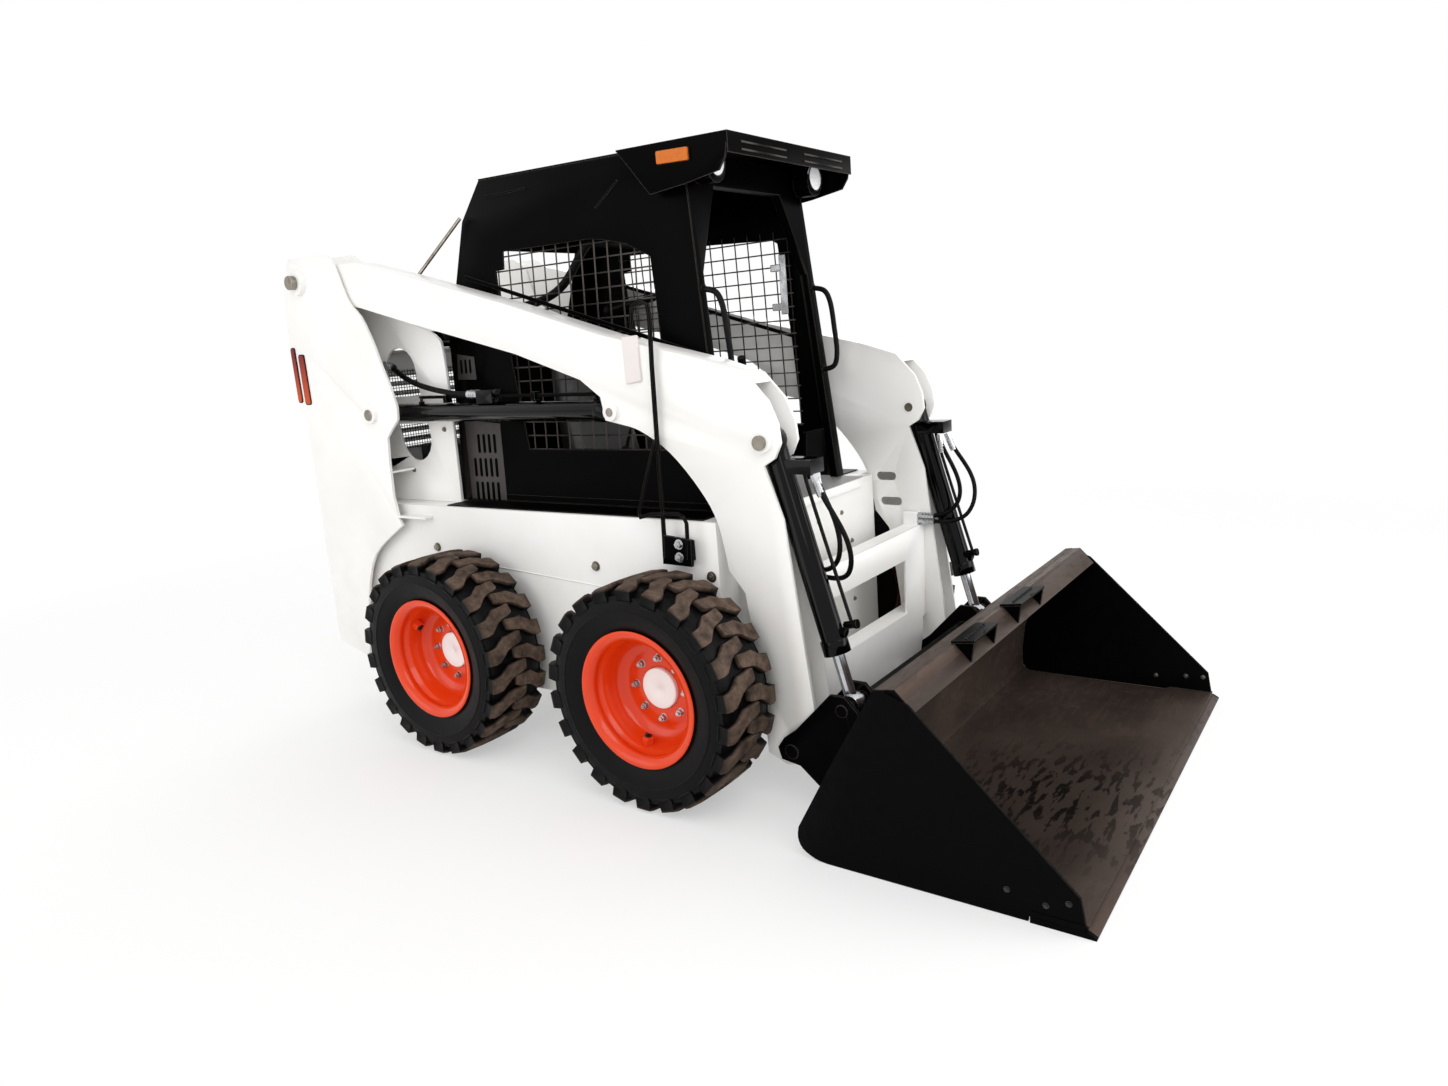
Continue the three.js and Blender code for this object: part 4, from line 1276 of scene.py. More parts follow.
    def rim(self) -> None:
        """Builds the dished rim with its rolled flange and valve guard."""
        half = self.tyre_width / 2
        seat = self.bead_radius - 2
        wall = 6
        flange, circle, cap = self.flange_radius, self.nut_circle, self.cap_radius
        bowl = [
            (seat, half - 22), (flange - 3, half - 21), (flange, half - 18), (flange, half - 15),
            (flange - 3, half - 12.5), (flange - 10, half - 13.5), (seat - 8, half - 20),
            (seat - 10, half - 27), (seat - 15, half - 30), (seat - 15, half - 46), (seat - 11, half - 50),
            (seat - 12, half - 58), (seat - 20, half - 66), (seat - 24, half - 78), (seat - 28, half - 96),
            (seat - 31, half - 120), (seat - 44, half - 139), (seat - 62, half - 145),
            (circle + 34, half - 149), (circle + 24, half - 147), (cap + 4, half - 146),
            (cap + 1, half - 147), (cap + 1, half - 156), (seat - 66, half - 158), (seat - 34, half - 150),
            (seat - 18, half - 132), (seat - 14, half - 100), (seat - 12, -half + 44), (seat - 4, -half + 26),
            (flange - 8, -half + 17), (flange, -half + 17), (flange, -half + 21), (seat, -half + 23),
            (seat - wall, -half + 44), (seat - wall, half - 44),
        ]
        body = bmesh.new()
        lathe(body, [(r, x + self.middle) for r, x in bowl], self.centre, self.side.value, 96)
        made = piece(f"rim_{self.end}_{self.side.label}_enamelled", body, self.body, ORANGE)
        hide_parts(f"rim_{self.end}_{self.side.label}")
        self.valve()

    def valve(self) -> None:
        """The hexagonal guard and stem of the valve, at the foot of the bowl."""
        angle = math.radians(170 if self.end == "front" else 55)
        out = self.side.value * (self.middle + self.tyre_width / 2 - 92) * MM
        reach = self.bead_radius - 44
        foot = Vector((out, self.centre.y + math.sin(angle) * reach * MM,
                       self.centre.z + math.cos(angle) * reach * MM))
        inward = Vector((0, -math.sin(angle), -math.cos(angle)))
        guard = bmesh.new()
        rod(guard, foot - inward * 0.018, foot + inward * 0.012, 22, 6)
        piece(f"valve_guard_{self.end}_{self.side.label}", guard, self.body, ORANGE, 2.5, 3)
        stem = bmesh.new()
        outward = Vector((self.side.value, 0, 0))
        rod(stem, foot + inward * 0.008, foot + inward * 0.015, 13, 6)
        rod(stem, foot + inward * 0.012, foot + inward * 0.026 + outward * 0.012, 5, 14)
        piece(f"valve_stem_{self.end}_{self.side.label}", stem, self.body, CAST, 0.8)

    def hub(self) -> None:
        """Builds the painted cap in the middle, a dark disc of painted shade behind the disc and the nuts
        round the cap.
        """
        s = self.side.value
        body = bmesh.new()
        edge, face, disc = self.cap_radius, self.cap, self.disc
        profile = [
            (31, disc - 60), (edge - 3, disc - 60), (edge - 1, disc - 40), (edge, face - 4),
            (edge - 1.5, face - 1.2), (edge - 5, face), (6, face), (4.5, face - 1.5), (0.3, face - 2),
            (0.3, face - 8), (31, face - 8),
        ]
        lathe(body, profile, self.centre, s, 64)
        made = piece(f"hub_{self.end}_{self.side.label}_capped", body, self.body, WHITE)
        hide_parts(f"hub_{self.end}_{self.side.label}")
        # Dark disc of painted shade inside the rim, behind its disc.
        back = bmesh.new()
        rim = self.bead_radius - 16
        inner, outer = self.shade_disc
        lathe(back, [(edge, inner), (rim, inner), (rim, outer), (edge, outer)], self.centre, s, 48)
        piece(f"wheel_back_{self.end}_{self.side.label}", back, self.body, SHADE_DISC)
        nut = bmesh.new()
        face = s * (disc - 2) * MM
        up = self.nut_circle * MM
        rod(nut, Vector((face, 0, up)), Vector((face + s * 0.006, 0, up)), 15.5, 24, 14)
        rod(nut, Vector((face + s * 0.005, 0, up)), Vector((face + s * 0.019, 0, up)), 12.5, 6, 11.8)
        rod(nut, Vector((face + s * 0.018, 0, up)), Vector((face + s * 0.027, 0, up)), 7.5, 16, 7)
        ring = RING.run(to_mesh("nut", nut), self.nuts, (2 * math.pi / self.nuts, 0, 0), BRIGHT, self.axle)
        piece(f"wheel_nuts_{self.end}_{self.side.label}", merged([ring]), self.body, BRIGHT, 0.8)

    def build(self) -> None:
        """Makes the whole wheel."""
        self.tyre()
        self.rim()
        self.hub()


# ---------------------------------------------------------------- cab
@dataclass
class Cab:
    """Operator's cab: leaning steel sides with welded wire windows, visor, lamps and handles."""

    foot_x: float = 415.0
    lean: float = 0.044
    ledge: float = 908.0
    sheet: float = 6.0
    wire: float = 2.8
    wire_pitch: tuple[float, float] = (62.0, 52.0)
    # Front, rear, foot and top of the right window and of the marker lamp.
    window: tuple[float, float, float, float] = (110.0, 940.0, 1110.0, 1878.0)
    left_window_front: float = 66.0
    marker: tuple[float, float, float, float] = (-45.0, 82.0, 2046.0, 2086.0)

    def skin(self, z: float) -> float:
        """Finds how far a side's outer face is from the middle plane.

        Args:
            z: The height in millimetres.

        Returns:
            The distance in millimetres.
        """
        return self.foot_x - self.lean * (z - self.ledge)

    def on_skin(self, side: Side, y: float, z: float, proud: float = 0.0) -> Vector:
        """A point on a side's outer face, or proud of it.

        Args:
            side: Which side.
            y: Distance behind the front axle in millimetres.
            z: Height in millimetres.
            proud: How far it stands off the face, in millimetres.

        Returns:
            The point.
        """
        return place(side.value * (self.skin(z) + proud), y, z)

    def patch(self, body: Faces, side: Side, outline: Sequence[tuple[float, float]], depth: float,
              sunk: float = 0.5) -> None:
        """Adds a flat patch that lies on a side's outer face.

        Args:
            body: Where the faces go.
            side: Which side.
            outline: Its [y, z] corners.
            depth: How far it stands proud, in millimetres.
            sunk: How far its back lies in the sheet.
        """
        points = [self.on_skin(side, y, z, -sunk) for y, z in outline]
        prism(body, points, Vector((side.value * (depth + sunk) * MM, 0, 0)))

    @staticmethod
    def rounded(y0: float, y1: float, z0: float, z1: float, radius: float, steps: int = 5) -> list[tuple]:
        """Outlines a rectangle with rounded corners.

        Args:
            y0: Its front.
            y1: Its rear.
            z0: Its foot.
            z1: Its top.
            radius: Radius of its corners.
            steps: Steps round each corner.

        Returns:
            Its [y, z] points.
        """
        result = []
        for cy, cz, start in ((y1 - radius, z1 - radius, 0), (y0 + radius, z1 - radius, 90),
                              (y0 + radius, z0 + radius, 180), (y1 - radius, z0 + radius, 270)):
            for i in range(steps + 1):
                angle = math.radians(start + 90 * i / steps)
                result.append((cy + radius * math.cos(angle), cz + radius * math.sin(angle)))
        return result

    def wires(self, side: Side) -> None:
        """Welds the wire mesh over the inside of a window.

        Args:
            side: Which side.
        """
        y0, y1, z0, z1 = self.window
        if side is Side.LEFT:
            y0 = self.left_window_front
        across, up = self.wire_pitch
        upright = bmesh.new()
        rod(upright, Vector((0, 0, 0)), Vector((0, 0, (z1 - z0) * MM)), self.wire, 8)
        flat = bmesh.new()
        rod(flat, Vector((0, 0, 0)), Vector((0, (y1 - y0) * MM, 0)), self.wire, 8)
        inside = self.foot_x - self.sheet - self.wire - 0.3
        corner = place(side.value * inside, y0, z0)
        parts = [
            ROW.run(to_mesh("wire", upright), int((y1 - y0) / across) + 1, (0, across * MM, 0), BLACK,
                    corner + Vector((0, 0.012, 0))),
            ROW.run(to_mesh("wire", flat), int((z1 - z0) / up) + 1, (0, 0, up * MM), BLACK,
                    corner + Vector((-side.value * self.wire * 1.2 * MM, 0, 0.010))),
        ]
        body = merged(parts)
        for corner_vertex in body.verts:
            height = corner_vertex.co.z / MM - self.ledge
            corner_vertex.co.x -= side.value * self.lean * height * MM
        made = piece(f"window_wires_{side.label}", body, "chassis", BLACK)
        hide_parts(f"window_mesh_{side.label}")

    def side(self, side: Side) -> None:
        """Dresses one side: its sheet, rail, rib, louvres with painted shade for their slots, and marker
        lamp.

        Args:
            side: Which side.
        """
        dressed(f"cab_side_{side.label}", "chassis", BLACK, 1.4)
        self.wires(side)
        trim = bmesh.new()
        self.patch(trim, side, [(1111, 1786), (1111, 1802), (-24, 1446), (-24, 1430)], 3.0)
        self.patch(trim, side, self.rounded(740, 967, 2070, 2078, 3.9), 2.0)
        self.patch(trim, side, [(400, 1960), (408, 1964), (300, 2040), (292, 2036)], 1.6)
        self.patch(trim, side, [(-70, 917), (1190, 917), (1190, 940), (-70, 940)], 2.0)
        piece(f"cab_rails_{side.label}", trim, "chassis", BLACK, 1.2)
        plate = bmesh.new()
        self.patch(plate, side, [(1192, 1236), (982, 1222), (978, 916), (1186, 916)], 2.2)
        self.patch(plate, side, [(1200, 1500), (1100, 1486), (1096, 1396), (1206, 1400)], 2.2)
        piece(f"louvre_plate_{side.label}", plate, "chassis", LOUVRE, 1.5)
        # Raised near-black patches of painted shade where the louvre slots are.
        slots = bmesh.new()
        for row in range(3):
            for column in range(5):
                y = 1146 - 31 * column
                z = 1142 - 96 * row
                if row == 0 and column < 1:
                    continue
                self.patch(slots, side, self.rounded(y - 7.5, y + 7.5, z - 38, z + 38, 7.4), 2.9)
        for column in range(3):
            y = 1178 - 26 * column
            self.patch(slots, side, self.rounded(y - 6, y + 6, 1422, 1478, 5.9), 2.9)
        piece(f"louvre_slots_{side.label}", slots, "chassis", SLOT_SHADE)
        y0, y1, z0, z1 = self.marker
        base = bmesh.new()
        lens = bmesh.new()
        out = 405.0
        for target, grow, near, far in ((base, 3.0, -1.0, 4.0), (lens, 0.0, 3.0, 13.0)):
            outline = [place(side.value * (out + near), y, z + 0.04 * (y - y0))
                       for y, z in self.rounded(y0 - grow, y1 + grow, z0 - grow, z1 + grow, 5)]
            prism(target, outline, Vector((side.value * (far - near) * MM, 0, 0)))
        piece(f"marker_base_{side.label}", base, "chassis", SEAL, 1)
        piece(f"marker_lens_{side.label}", lens, "chassis", AMBER, 2.5, 3)

    def front(self) -> None:
        """Dresses the other plates and adds the visor's beads, its lamps and the grab handles."""
        dressed("cab_front", "chassis", BLACK, 3)
        dressed("cab_roof", "chassis", BLACK, 1.8)
        dressed("cab_rear", "chassis", BLACK, 1.5)
        dressed("cab_floor", "chassis", BLACK, 1.2)
        visor = bmesh.new()
        for z in (2063, 2086):
            for x0, x1 in ((-330, -60), (60, 330)):
                sweep(visor, [place(x0, -194, z), place(x1, -194, z)], 3.2, 10)
        piece("visor_beads", visor, "chassis", BLACK)
        for side in Side:
            low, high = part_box(f"work_light_{side.label}")
            radius = (high[0] - low[0]) / 2 - 0.006
            self.lamp(side, (low[0] + high[0]) / 2, low[1], (low[2] + high[2]) / 2, radius)
            self.handle(side)

    def lamp(self, side: Side, x: float, front: float, z: float, radius: float) -> None:
        """Builds a round work lamp under the visor.

        Args:
            side: Which side.
            x: Middle of the lamp in metres.
            front: Front of its housing in metres.
            z: Height of its middle in metres.
            radius: Radius of its glass in metres.
        """
        dressed(f"work_light_{side.label}", "chassis", BLACK, 3, 3)
        glass = bmesh.new()
        flat = Matrix.Translation((x, front + 0.004, z)) @ Matrix.Diagonal((1, 0.28, 1, 1))
        bmesh.ops.create_uvsphere(glass, u_segments=40, v_segments=20, radius=radius, matrix=flat)
        piece(f"lamp_glass_{side.label}", glass, "chassis", GLASS)
        ring = bmesh.new()
        rim = radius + 0.001
        circle = [Vector((x + rim * math.cos(a), front - 0.001, z + rim * math.sin(a)))
                  for a in (2 * math.pi * i / 48 for i in range(49))]
        sweep(ring, circle, 2.6, 10)
        piece(f"lamp_ring_{side.label}", ring, "chassis", BLACK)

    def handle(self, side: Side) -> None:
        """Bends the grab handle on the door frame.

        Args:
            side: Which side.
        """
        low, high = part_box(f"grab_handle_{side.label}")
        x = (low[0] + high[0]) / 2
        y_low = low[1] + 0.010
        z_low, z_high = low[2] + 0.014, high[2] - 0.014
        lean = math.tan(math.radians(5.37))
        depth = 0.082
        route = []
        bends = ((0.0, 0.0), (0.045, 0.72), (0.22, 1.0), (0.5, 1.02), (0.80, 0.98), (0.955, 0.7), (1.0, 0.0))
        for share, out in bends:
            z = z_low + (z_high - z_low) * share
            base = y_low + (depth - 0.010) + (z - z_low) * lean
            route.append(Vector((x, base - depth * out * 0.86, z)))
        body = bmesh.new()
        sweep(body, smooth_path(route, 44), 10, 16)
        for end in (route[0], route[-1]):
            rod(body, end + Vector((0, -0.004, 0)), end + Vector((0, 0.006, 0)), 17, 24)
        made = piece(f"grab_handle_{side.label}_bent", body, "chassis", SEAL)
        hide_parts(f"grab_handle_{side.label}")

    def build(self) -> None:
        """Makes the cab."""
        for side in Side:
            self.side(side)
        self.front()


@dataclass
class Interior:
    """Seat, lap bar, side consoles and levers.

    A cushion is stuffed by a cloth run, which stops after some steps and may only swell it so far.
    """

    voxel: float = 12.0
    pressure: float = 4.0
    steps: int = 18
    swell: float = 14.0

    def cushion(self, name: str, outline: Sequence[tuple[float, float]], half: float, fill: float) -> Thing:
        """Stuffs one cushion of the seat.

        Args:
            name: Name of the piece.
            outline: Its [y, z] side outline.
            half: Half its width in millimetres.
            fill: How tight it is stuffed, 0 to 1; not used.

        Returns:
            The cushion.
        """
        body = bmesh.new()
        prism(body, [place(-half, y, z) for y, z in outline], Vector((2 * half * MM, 0, 0)))
        made = new_piece(name, to_mesh(name, body), SEAT)
        bpy.context.view_layer.objects.active = made
        remesh = made.modifiers.new("even", "REMESH")
        remesh.mode = "VOXEL"
        remesh.voxel_size = self.voxel * MM
        self.apply(made)
        start = [v.co.copy() for v in made.data.vertices]
        cloth = made.modifiers.new("stuffing", "CLOTH")
        cloth.settings.use_pressure = True
        cloth.settings.uniform_pressure_force = self.pressure
        cloth.settings.effector_weights.gravity = 0
        scene = bpy.context.scene
        for step in range(1, self.steps + 1):
            scene.frame_set(step)
        self.apply(made)
        for vertex, before in zip(made.data.vertices, start):
            move = vertex.co - before
            if move.length > self.swell * MM:
                vertex.co = before + move.normalized() * self.swell * MM
        scene.frame_set(1)
        smooth = made.modifiers.new("smooth", "SUBSURF")
        smooth.levels = smooth.render_levels = 1
        for face in made.data.polygons:
            face.use_smooth = True
        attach(made, "chassis")
        return made

    @staticmethod
    def apply(made: Thing) -> None:
        """Applies a piece's modifiers to its mesh.

        Args:
            made: The piece.
        """
        evaluated = made.evaluated_get(bpy.context.evaluated_depsgraph_get())
        mesh = bpy.data.meshes.new_from_object(evaluated)
        made.modifiers.clear()
        made.data = mesh

    def seat(self) -> None:
        """Builds the seat's two cushions and its pan."""
        base = [(345, 925), (350, 985), (400, 998), (740, 985), (750, 905)]
        cushion = self.cushion("seat_cushion", base, 222, 0.7)
        back = [(765, 985), (838, 1300), (858, 1545), (892, 1545), (885, 1290), (845, 985)]
        self.cushion("seat_back_cushion", back, 212, 0.7)
        pan = bmesh.new()
        box(pan, place(-225, 400, 820.5), place(225, 790, 900))
        piece("seat_pan", pan, "chassis", BLACK, 8, 3)
        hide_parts("seat")

    def lap_bar(self) -> None:
        """Bends the lap bar and adds its cross tube and hinges."""
        body = bmesh.new()
        for x in (-330, 330):
            line = ((1000, 1640), (900, 1655), (730, 1680), (620, 1730), (520, 1830), (482, 1858))
            tube(body, [(x, y, z) for y, z in line], 40, 15.5, 14)
        rod(body, place(-344, 485, 1856), place(344, 485, 1856), 15.5, 20)
        low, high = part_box("seat_bar")
        for side, end in ((Side.RIGHT, low[0]), (Side.LEFT, high[0])):
            hinge = place(side.value * 314, 1000, 1640)
            rod(body, hinge, Vector((end, hinge.y, hinge.z)), 21.5, 24)
        made = piece("lap_bar", body, "seat_bar", SEAL)
        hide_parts("seat_bar")

    def levers(self) -> None:
        """Adds the consoles beside the seat and their levers."""
        console = bmesh.new()
        for side in Side:
            box(console, place(side.value * 255, 330, 821), place(side.value * 345, 800, 1085))
        piece("side_consoles", console, "chassis", LOUVRE, 14, 4)
        gate = bmesh.new()
        for side in Side:
            box(gate, place(side.value * 262, 360, 1084), place(side.value * 338, 520, 1098))
        piece("lever_gates", gate, "chassis", BRASS, 3)
        for side in Side:
            lever = bmesh.new()
            x = side.value * 300
            line = [(x, 430, 1090), (x, 410, 1150), (x, 370, 1225), (x * 1.03, 330, 1290)]
            tube(lever, line, 16, 7, 12)
            grip = [(x * 1.03, 336, 1272), (x * 1.05, 318, 1320), (x * 1.06, 300, 1372),
                    (x * 1.02, 292, 1404)]
            tube(lever, grip, 16, 17, 16)
            rod(lever, place(x, 430, 1088), place(x, 420, 1120), 34, 24, 14)
            piece(f"lever_{side.label}", lever, "chassis", SEAL, 1.5)

    def fittings(self) -> None:
        """Adds the instrument panel, the door post's latch and the foot panel."""
        panel = bmesh.new()
        outline = ((30, 1880), (0, 1820), (20, 1720), (90, 1700), (130, 1760), (110, 1880))
        prism(panel, [place(-352, y, z) for y, z in outline], Vector((0.040, 0, 0)))
        piece("instrument_panel", panel, "chassis", SEAL, 8, 3)
        latch = bmesh.new()
        box(latch, place(345, 80, 1560), place(352, 112, 1790))
        for z in (1590, 1740):
            box(latch, place(340, 104, z - 14), place(356, 150, z + 14))
        piece("door_post_latch", latch, "chassis", BRIGHT, 4, 3)
        foot = bmesh.new()
        prism(foot, [place(x, -60, z) for x, z in ((180, 925), (345, 925), (340, 1110), (200, 1110))],
              Vector((0, 0.014, 0)))
        piece("foot_panel", foot, "chassis", BLACK, 4, 3)

    def build(self) -> None:
        """Makes everything inside the cab."""
        self.seat()
        self.lap_bar()
        self.levers()
        self.fittings()


# ---------------------------------------------------------------- frame and uprights
@dataclass
class Chassis:
    """Lower frame, uprights, hood, rear door, engine and the bent rods by the cab."""

    frame_x: float = 560.0
    upright_x: float = 600.0
    # Each pin end: its [y, z], the face it starts from, how far out it reaches, and its radius.
    pin_ends: tuple = (((1888, 1841), 622, 648, 28), ((1519, 1284), 616, 622, 22))
    # Each tail lamp: its front, rear, foot and top.
    tail_lamps: tuple = ((1934, 1972, 1338, 1544), (1996, 2022, 1348, 1575))

    def plates(self) -> None:
        """Dresses the structural plates."""
        dressed("lower_frame", "chassis", WHITE, 2.5)
        for side in Side:
            dressed(f"upright_{side.label}", "chassis", WHITE, 2.4)
            for end in ("front", "rear"):
                dressed(f"axle_{end}_{side.label}", "chassis", BLACK, 3)
        dressed("hood", "hood", BLACK, 1.6)
        dressed("rear_door", "rear_door", WHITE, 2.5)
        dressed("engine_block", "chassis", CAST, 14, 3)
        dressed("arm_rods_right", "chassis", BLACK, 1)
        dressed("cab_stay", "chassis", ZINC, 0)

    def fasteners(self) -> None:
        """Adds bolt heads, pin ends, seams and towing eyes on both sides."""
        for side in Side:
            s = side.value
            out = Vector((s, 0, 0))
            spots = [(place(s * self.frame_x, y, z), out) for y, z in ((394, 723), (-119, 726), (1265, 737))]
            bolts(f"frame_bolts_{side.label}", "chassis", spots, 26, 9)
            inner = [(place(s * 462.3, y, z), out) for y, z in ((1248, 1207), (1477, 1038))]
            bolts(f"slot_bolts_{side.label}", "chassis", inner, 15, 6)
            pin_caps(f"upright_pin_ends_{side.label}", "chassis", side, self.pin_ends)
            seam = bmesh.new()
            line = [(1180, 696), (290, 644), (250, 620)]
            sweep(seam, [place(s * self.frame_x, y, z) for y, z in line], 2.6, 8)
            piece(f"frame_seam_{side.label}", seam, "chassis", WHITE)
            hook = bmesh.new()
            ring = [place(s * 560, 2022 + 17 * math.cos(a), 330 + 17 * math.sin(a))
                    for a in (2 * math.pi * i / 24 for i in range(25))]
            sweep(hook, ring, 7, 10)
            piece(f"tow_eye_{side.label}", hook, "chassis", WHITE)
        bracket = [(place(-604, -28, 839), Vector((-1, 0, 0))), (place(-604, -27, 795), Vector((-1, 0, 0)))]
        bolts("rod_bracket_bolts", "chassis", bracket, 24, 10, BRIGHT)

    def lamps(self) -> None:
        """Sets the two tall tail lamps into each upright, one on its side and one round its rear corner."""
        for side in Side:
            s = side.value
            lens = bmesh.new()
            shell = bmesh.new()
            for grow, target, proud in ((4.5, shell, 2.5), (0.0, lens, 6.0)):
                for y0, y1, z0, z1 in self.tail_lamps:
                    flat = [place(s * (self.upright_x - 1), y, z) for y, z in
                            Cab.rounded(y0 - grow, y1 + grow, z0 - grow, z1 + grow, 7 + grow)]
                    prism(target, flat, Vector((s * (proud + 1) * MM, 0, 0)))
            piece(f"tail_lamp_rims_{side.label}", shell, "chassis", SEAL, 1)
            piece(f"tail_lamp_lenses_{side.label}", lens, "chassis", TAIL, 2.2, 3)

    def engine_bay(self) -> None:
        """Adds the radiator grille behind the rear door's louvres, and the door's handle."""
        wire = bmesh.new()
        rod(wire, Vector((-0.31, 0, 0)), Vector((0.31, 0, 0)), 1.6, 6)
        rows = ROW.run(to_mesh("wire", wire), 25, (0, 0, 0.015), BLACK, place(0, 1957, 1082))
        wire = bmesh.new()
        rod(wire, Vector((0, 0, 0)), Vector((0, 0, 0.37)), 1.6, 6)
        columns = ROW.run(to_mesh("wire", wire), 42, (0.015, 0, 0), BLACK, place(-307, 1955, 1080))
        piece("radiator_grille", merged([rows, columns]), "rear_door", BLACK)
        handle = bmesh.new()
        line = [(300, 1968, 860), (300, 1996, 866), (300, 1996, 934), (300, 1968, 940)]
        tube(handle, line, 24, 7, 12)
        rod(handle, place(340, 1966, 900), place(340, 1974, 900), 16, 24)
        piece("rear_door_handle", handle, "rear_door", SEAL, 1)

    def front_plate(self) -> None:
        """Adds the front plate's bolts and the step treads above and below it."""
        spots = [(place(x, -205, z), Vector((0, -1, 0))) for x in (-252, 252) for z in (445, 680)]
        spots += [(place(x, -205, 804), Vector((0, -1, 0))) for x in (-179, 0, 179)]
        bolts("front_plate_bolts", "chassis", spots, 13, 5)
        tread = bmesh.new()
        for z in (236, 876):
            box(tread, place(-330, -214, z), place(330, -204, z + 14))
        piece("front_step_treads", tread, "chassis", WHITE, 3)

    def build(self) -> None:
        """Makes the chassis."""
        self.plates()
        self.fasteners()
        self.lamps()
        self.engine_bay()
        self.front_plate()


# ---------------------------------------------------------------- arms and cylinders
@dataclass
class Arms:
    """Lift arms, crossmember and the four cylinders."""

    arm_out: float = 580.0
    cylinder_x: float = 524.0
    # Each pin end: its [y, z], the face it starts from, how far out it reaches, and its radius.
    pin_ends: tuple = (((-364, 1172), 595, 606, 22), ((-364, 1172), 469, 464, 16),
                       ((229, 1273), 594, 596, 14))

    def plates(self) -> None:
        """Dresses the arms and the crossmember."""
        for side in Side:
            s = side.value
            slots = bmesh.new()
            for z, rear, front in ((900, -215, -300), (799, -229, -322)):
                outline = [(front + 17 + 17 * math.sin(a), z + 17 * math.cos(a))
                           for a in (math.pi + math.pi * k / 10 for k in range(11))]
                outline += [(rear - 17 + 17 * math.sin(a), z + 17 * math.cos(a))
                            for a in (math.pi * k / 10 for k in range(11))]
                prism(slots, [place(s * 462, y, z) for y, z in outline], Vector((s * 0.030, 0, 0)))
            dressed(f"lift_arm_{side.label}", "lift_arms", WHITE, 3, cutter=slots)
            box_piece = bmesh.new()
            prism(box_piece, [place(s * (self.arm_out - 1), y, z) for y, z in
                              ((154, 1515), (86, 1518), (84, 1370), (150, 1362))], Vector((s * 0.009, 0, 0)))
            if side is Side.RIGHT:
                piece("arm_document_box", box_piece, "lift_arms", PALE_BOX, 6, 4)
            else:
                box_piece.free()
            pin_caps(f"pin_ends_{side.label}", "lift_arms", side, self.pin_ends)
        dressed("arm_crossmember", "lift_arms", WHITE, 2.5)

    def cylinders(self) -> None:
        """Dresses the barrels and rods, and adds their hard lines."""
        for side in Side:
            for kind in ("lift", "tilt"):
                barrel = f"{kind}_barrel_{side.label}"
                dressed(barrel, barrel, GLOSSY, 2)
                dressed(f"{kind}_rod_{side.label}", f"{kind}_rod_{side.label}", CHROME, 1.2)
            self.lift_line(side)
            self.tilt_line(side)

    def lift_line(self, side: Side) -> None:
        """Runs the hard line along the top of a lift cylinder.

        Args:
            side: Which side.
        """
        s = side.value
        x = self.cylinder_x * s
        line = bmesh.new()
        route = ((1290, 1322), (1285, 1340), (1240, 1342), (700, 1335), (380, 1331), (345, 1328), (343, 1308))
        tube(line, [(x, y, z) for y, z in route], 60, 6.5, 12)
        piece(f"lift_hard_line_{side.label}", line, f"lift_barrel_{side.label}", BLACK)
        nuts = bmesh.new()
        for y, z in ((343, 1303), (1289, 1312)):
            rod(nuts, place(x, y, z - 4), place(x, y, z + 14), 12, 6)
        for y in (640, 1130):
            box(nuts, place(x - 15, y - 9, 1318), place(x + 15, y + 9, 1348))
        piece(f"lift_line_nuts_{side.label}", nuts, f"lift_barrel_{side.label}", BLACK, 1)

    def tilt_line(self, side: Side) -> None:
        """Runs the hard line down the front of a tilt cylinder to its lower port.

        Args:
            side: Which side.
        """
        s = side.value
        x = s * (self.cylinder_x - 22)
        route = [(x, -462, 1072), (x, -470, 1020), (x, -590, 628), (x, -600, 600), (x, -586, 592)]
        line = bmesh.new()
        tube(line, route, 40, 6, 12)
        piece(f"tilt_hard_line_{side.label}", line, f"tilt_barrel_{side.label}", GLOSSY)
        port = bmesh.new()
        rod(port, place(s * self.cylinder_x, -535, 590), place(s * self.cylinder_x, -590, 578), 15, 20)
        rod(port, place(x, -572, 594), place(x, -610, 604), 13, 6)
        rod(port, place(x, -608, 603), place(x, -618, 605), 15, 16)
        piece(f"tilt_port_{side.label}", port, f"tilt_barrel_{side.label}", BLACK, 1)

    def build(self) -> None:
        """Makes the arms and cylinders."""
        self.plates()
        self.cylinders()


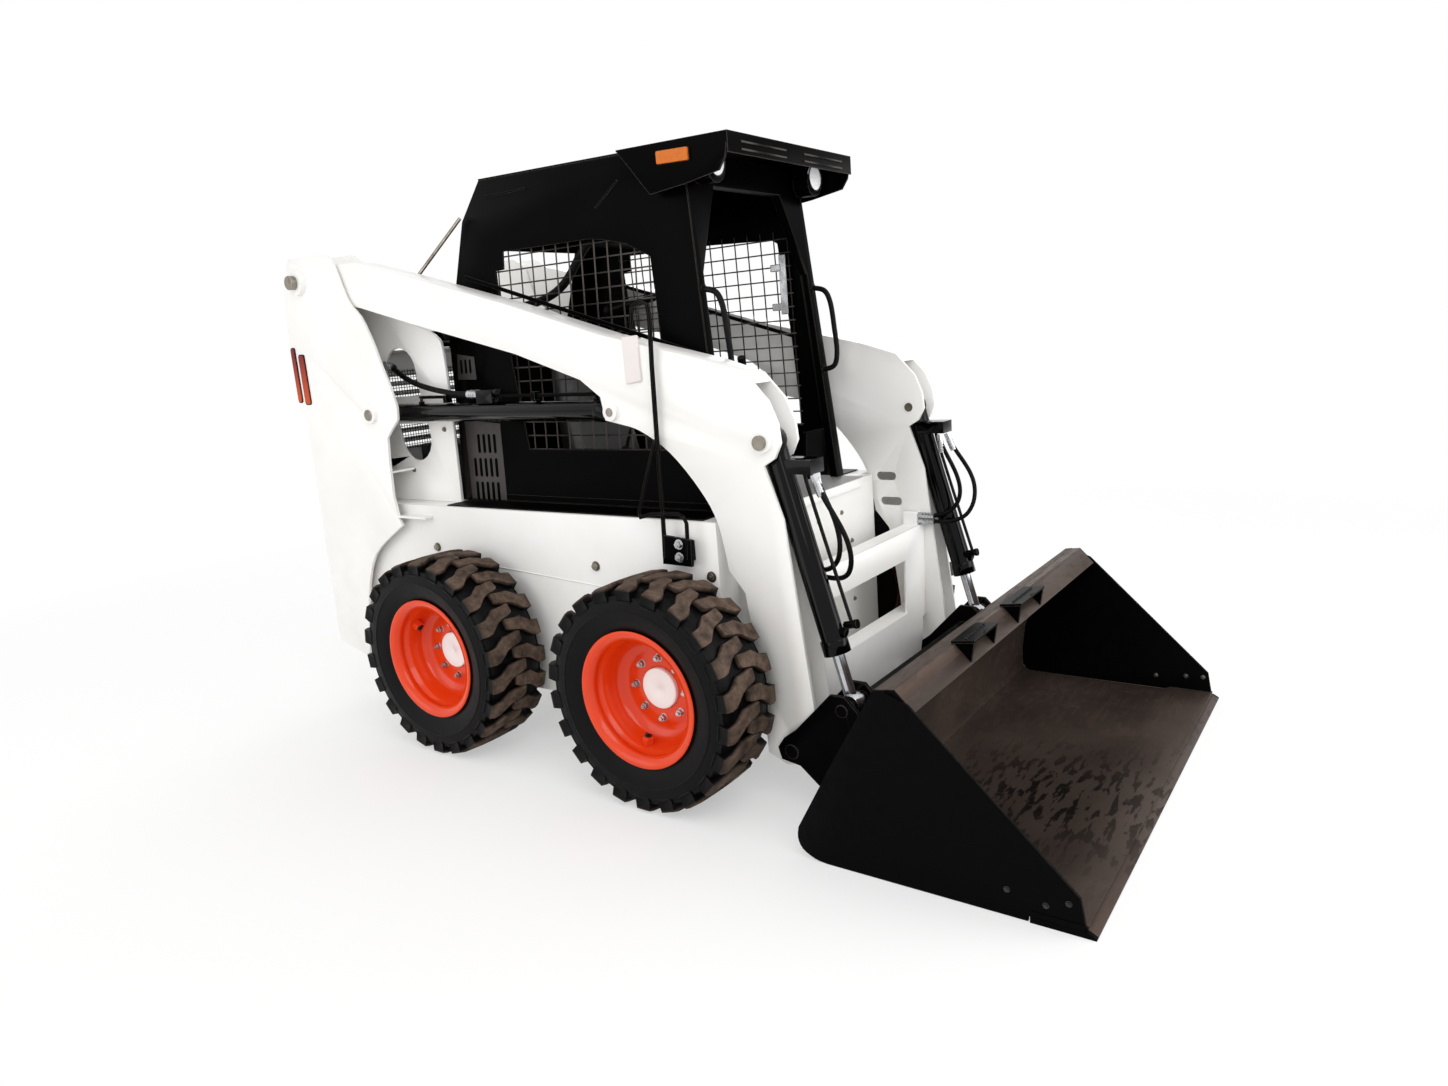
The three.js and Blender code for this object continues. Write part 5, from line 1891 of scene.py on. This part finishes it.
# ---------------------------------------------------------------- bucket
@dataclass
class Bucket:
    """Dirt bucket with its carrier."""

    half: float = 868.0
    # Where each grip step begins and ends across the bucket.
    steps: tuple = ((-448, -252), (-35, 200))

    def plates(self) -> None:
        """Dresses the shell, its edge and the carrier."""
        dressed("bucket", "bucket_group", STEEL, 2)
        dressed("cutting_edge", "bucket_group", STEEL, 1)
        dressed("bucket_carrier", "bucket_group", BLACK, 2.4)

    def sides(self) -> None:
        """Adds the bolts, wear pads and welds of the side plates."""
        for side in Side:
            s = side.value
            out = Vector((s, 0, 0))
            outer = [(place(s * self.half, y, z), out) for y, z in ((-1202, 76), (-1356, 81), (-1300, 60))]
            bolts(f"bucket_bolts_outside_{side.label}", "bucket_group", outer, 12, 4, CAST)
            inner = [(place(s * (self.half - 10), y, z), -out)
                     for y, z in ((-1199, 66), (-1307, 78), (-1367, 82))]
            bolts(f"bucket_bolts_inside_{side.label}", "bucket_group", inner, 12, 4, ZINC)
            wear = bmesh.new()
            box(wear, place(s * (self.half - 1), -1394, 17), place(s * (self.half + 2.5), -1262, 34))
            piece(f"bucket_wear_pad_{side.label}", wear, "bucket_group", STEEL, 1.5)
            weld = bmesh.new()
            line = [(-1255, 14), (-1225, 14), (-712, 14), (-684, 26), (-668, 62), (-690, 244), (-850, 540)]
            tube(weld, [(s * (self.half - 11), y, z) for y, z in line], 90, 3.4, 8)
            piece(f"bucket_weld_{side.label}", weld, "bucket_group", STEEL)

    def gussets(self) -> None:
        """Welds the two grip steps, each a tread on two triangular gussets, to the top rail."""
        body = bmesh.new()
        gusset = ((-897, 560), (-966, 572), (-955, 502))
        tread = ((-894, 560), (-968, 570), (-969, 578), (-894, 568))
        for first, last in self.steps:
            for x in (first, last - 8):
                prism(body, [place(x, y, z) for y, z in gusset], Vector((0.008, 0, 0)))
            prism(body, [place(first - 1, y, z) for y, z in tread], Vector(((last - first + 2) * MM, 0, 0)))
            middle = (first + last) / 2
            for x in range(int(first) + 22, int(last) - 20, 18):
                rod(body, place(x, -932, 568), place(x, -932.6, 577), 4.5, 10)
            rod(body, place(middle - 12, -964, 577), place(middle + 12, -964, 577), 4, 10)
        piece("bucket_grip_steps", body, "bucket_group", BLACK, 1.2)

    def edge(self) -> None:
        """Welds the cutting edge on, along its front and its back."""
        strip = bmesh.new()
        sweep(strip, [place(-855, -1345, 18), place(855, -1345, 18)], 2.6, 8)
        sweep(strip, [place(-855, -1262, 17.4), place(855, -1262, 17.4)], 1.6, 8)
        piece("cutting_edge_weld", strip, "bucket_group", STEEL)

    def build(self) -> None:
        """Makes the bucket."""
        self.plates()
        self.sides()
        self.gussets()
        self.edge()


def main() -> None:
    """Builds the machine, piece by piece."""
    logging.basicConfig(level=logging.INFO, format="%(message)s")
    Studio().build()
    Hoses().build()
    for end in ("front", "rear"):
        for side in Side:
            Wheel(end, side).build()
    Chassis().build()
    Cab().build()
    Interior().build()
    Arms().build()
    Bucket().build()


if __name__ == "__main__":
    main()
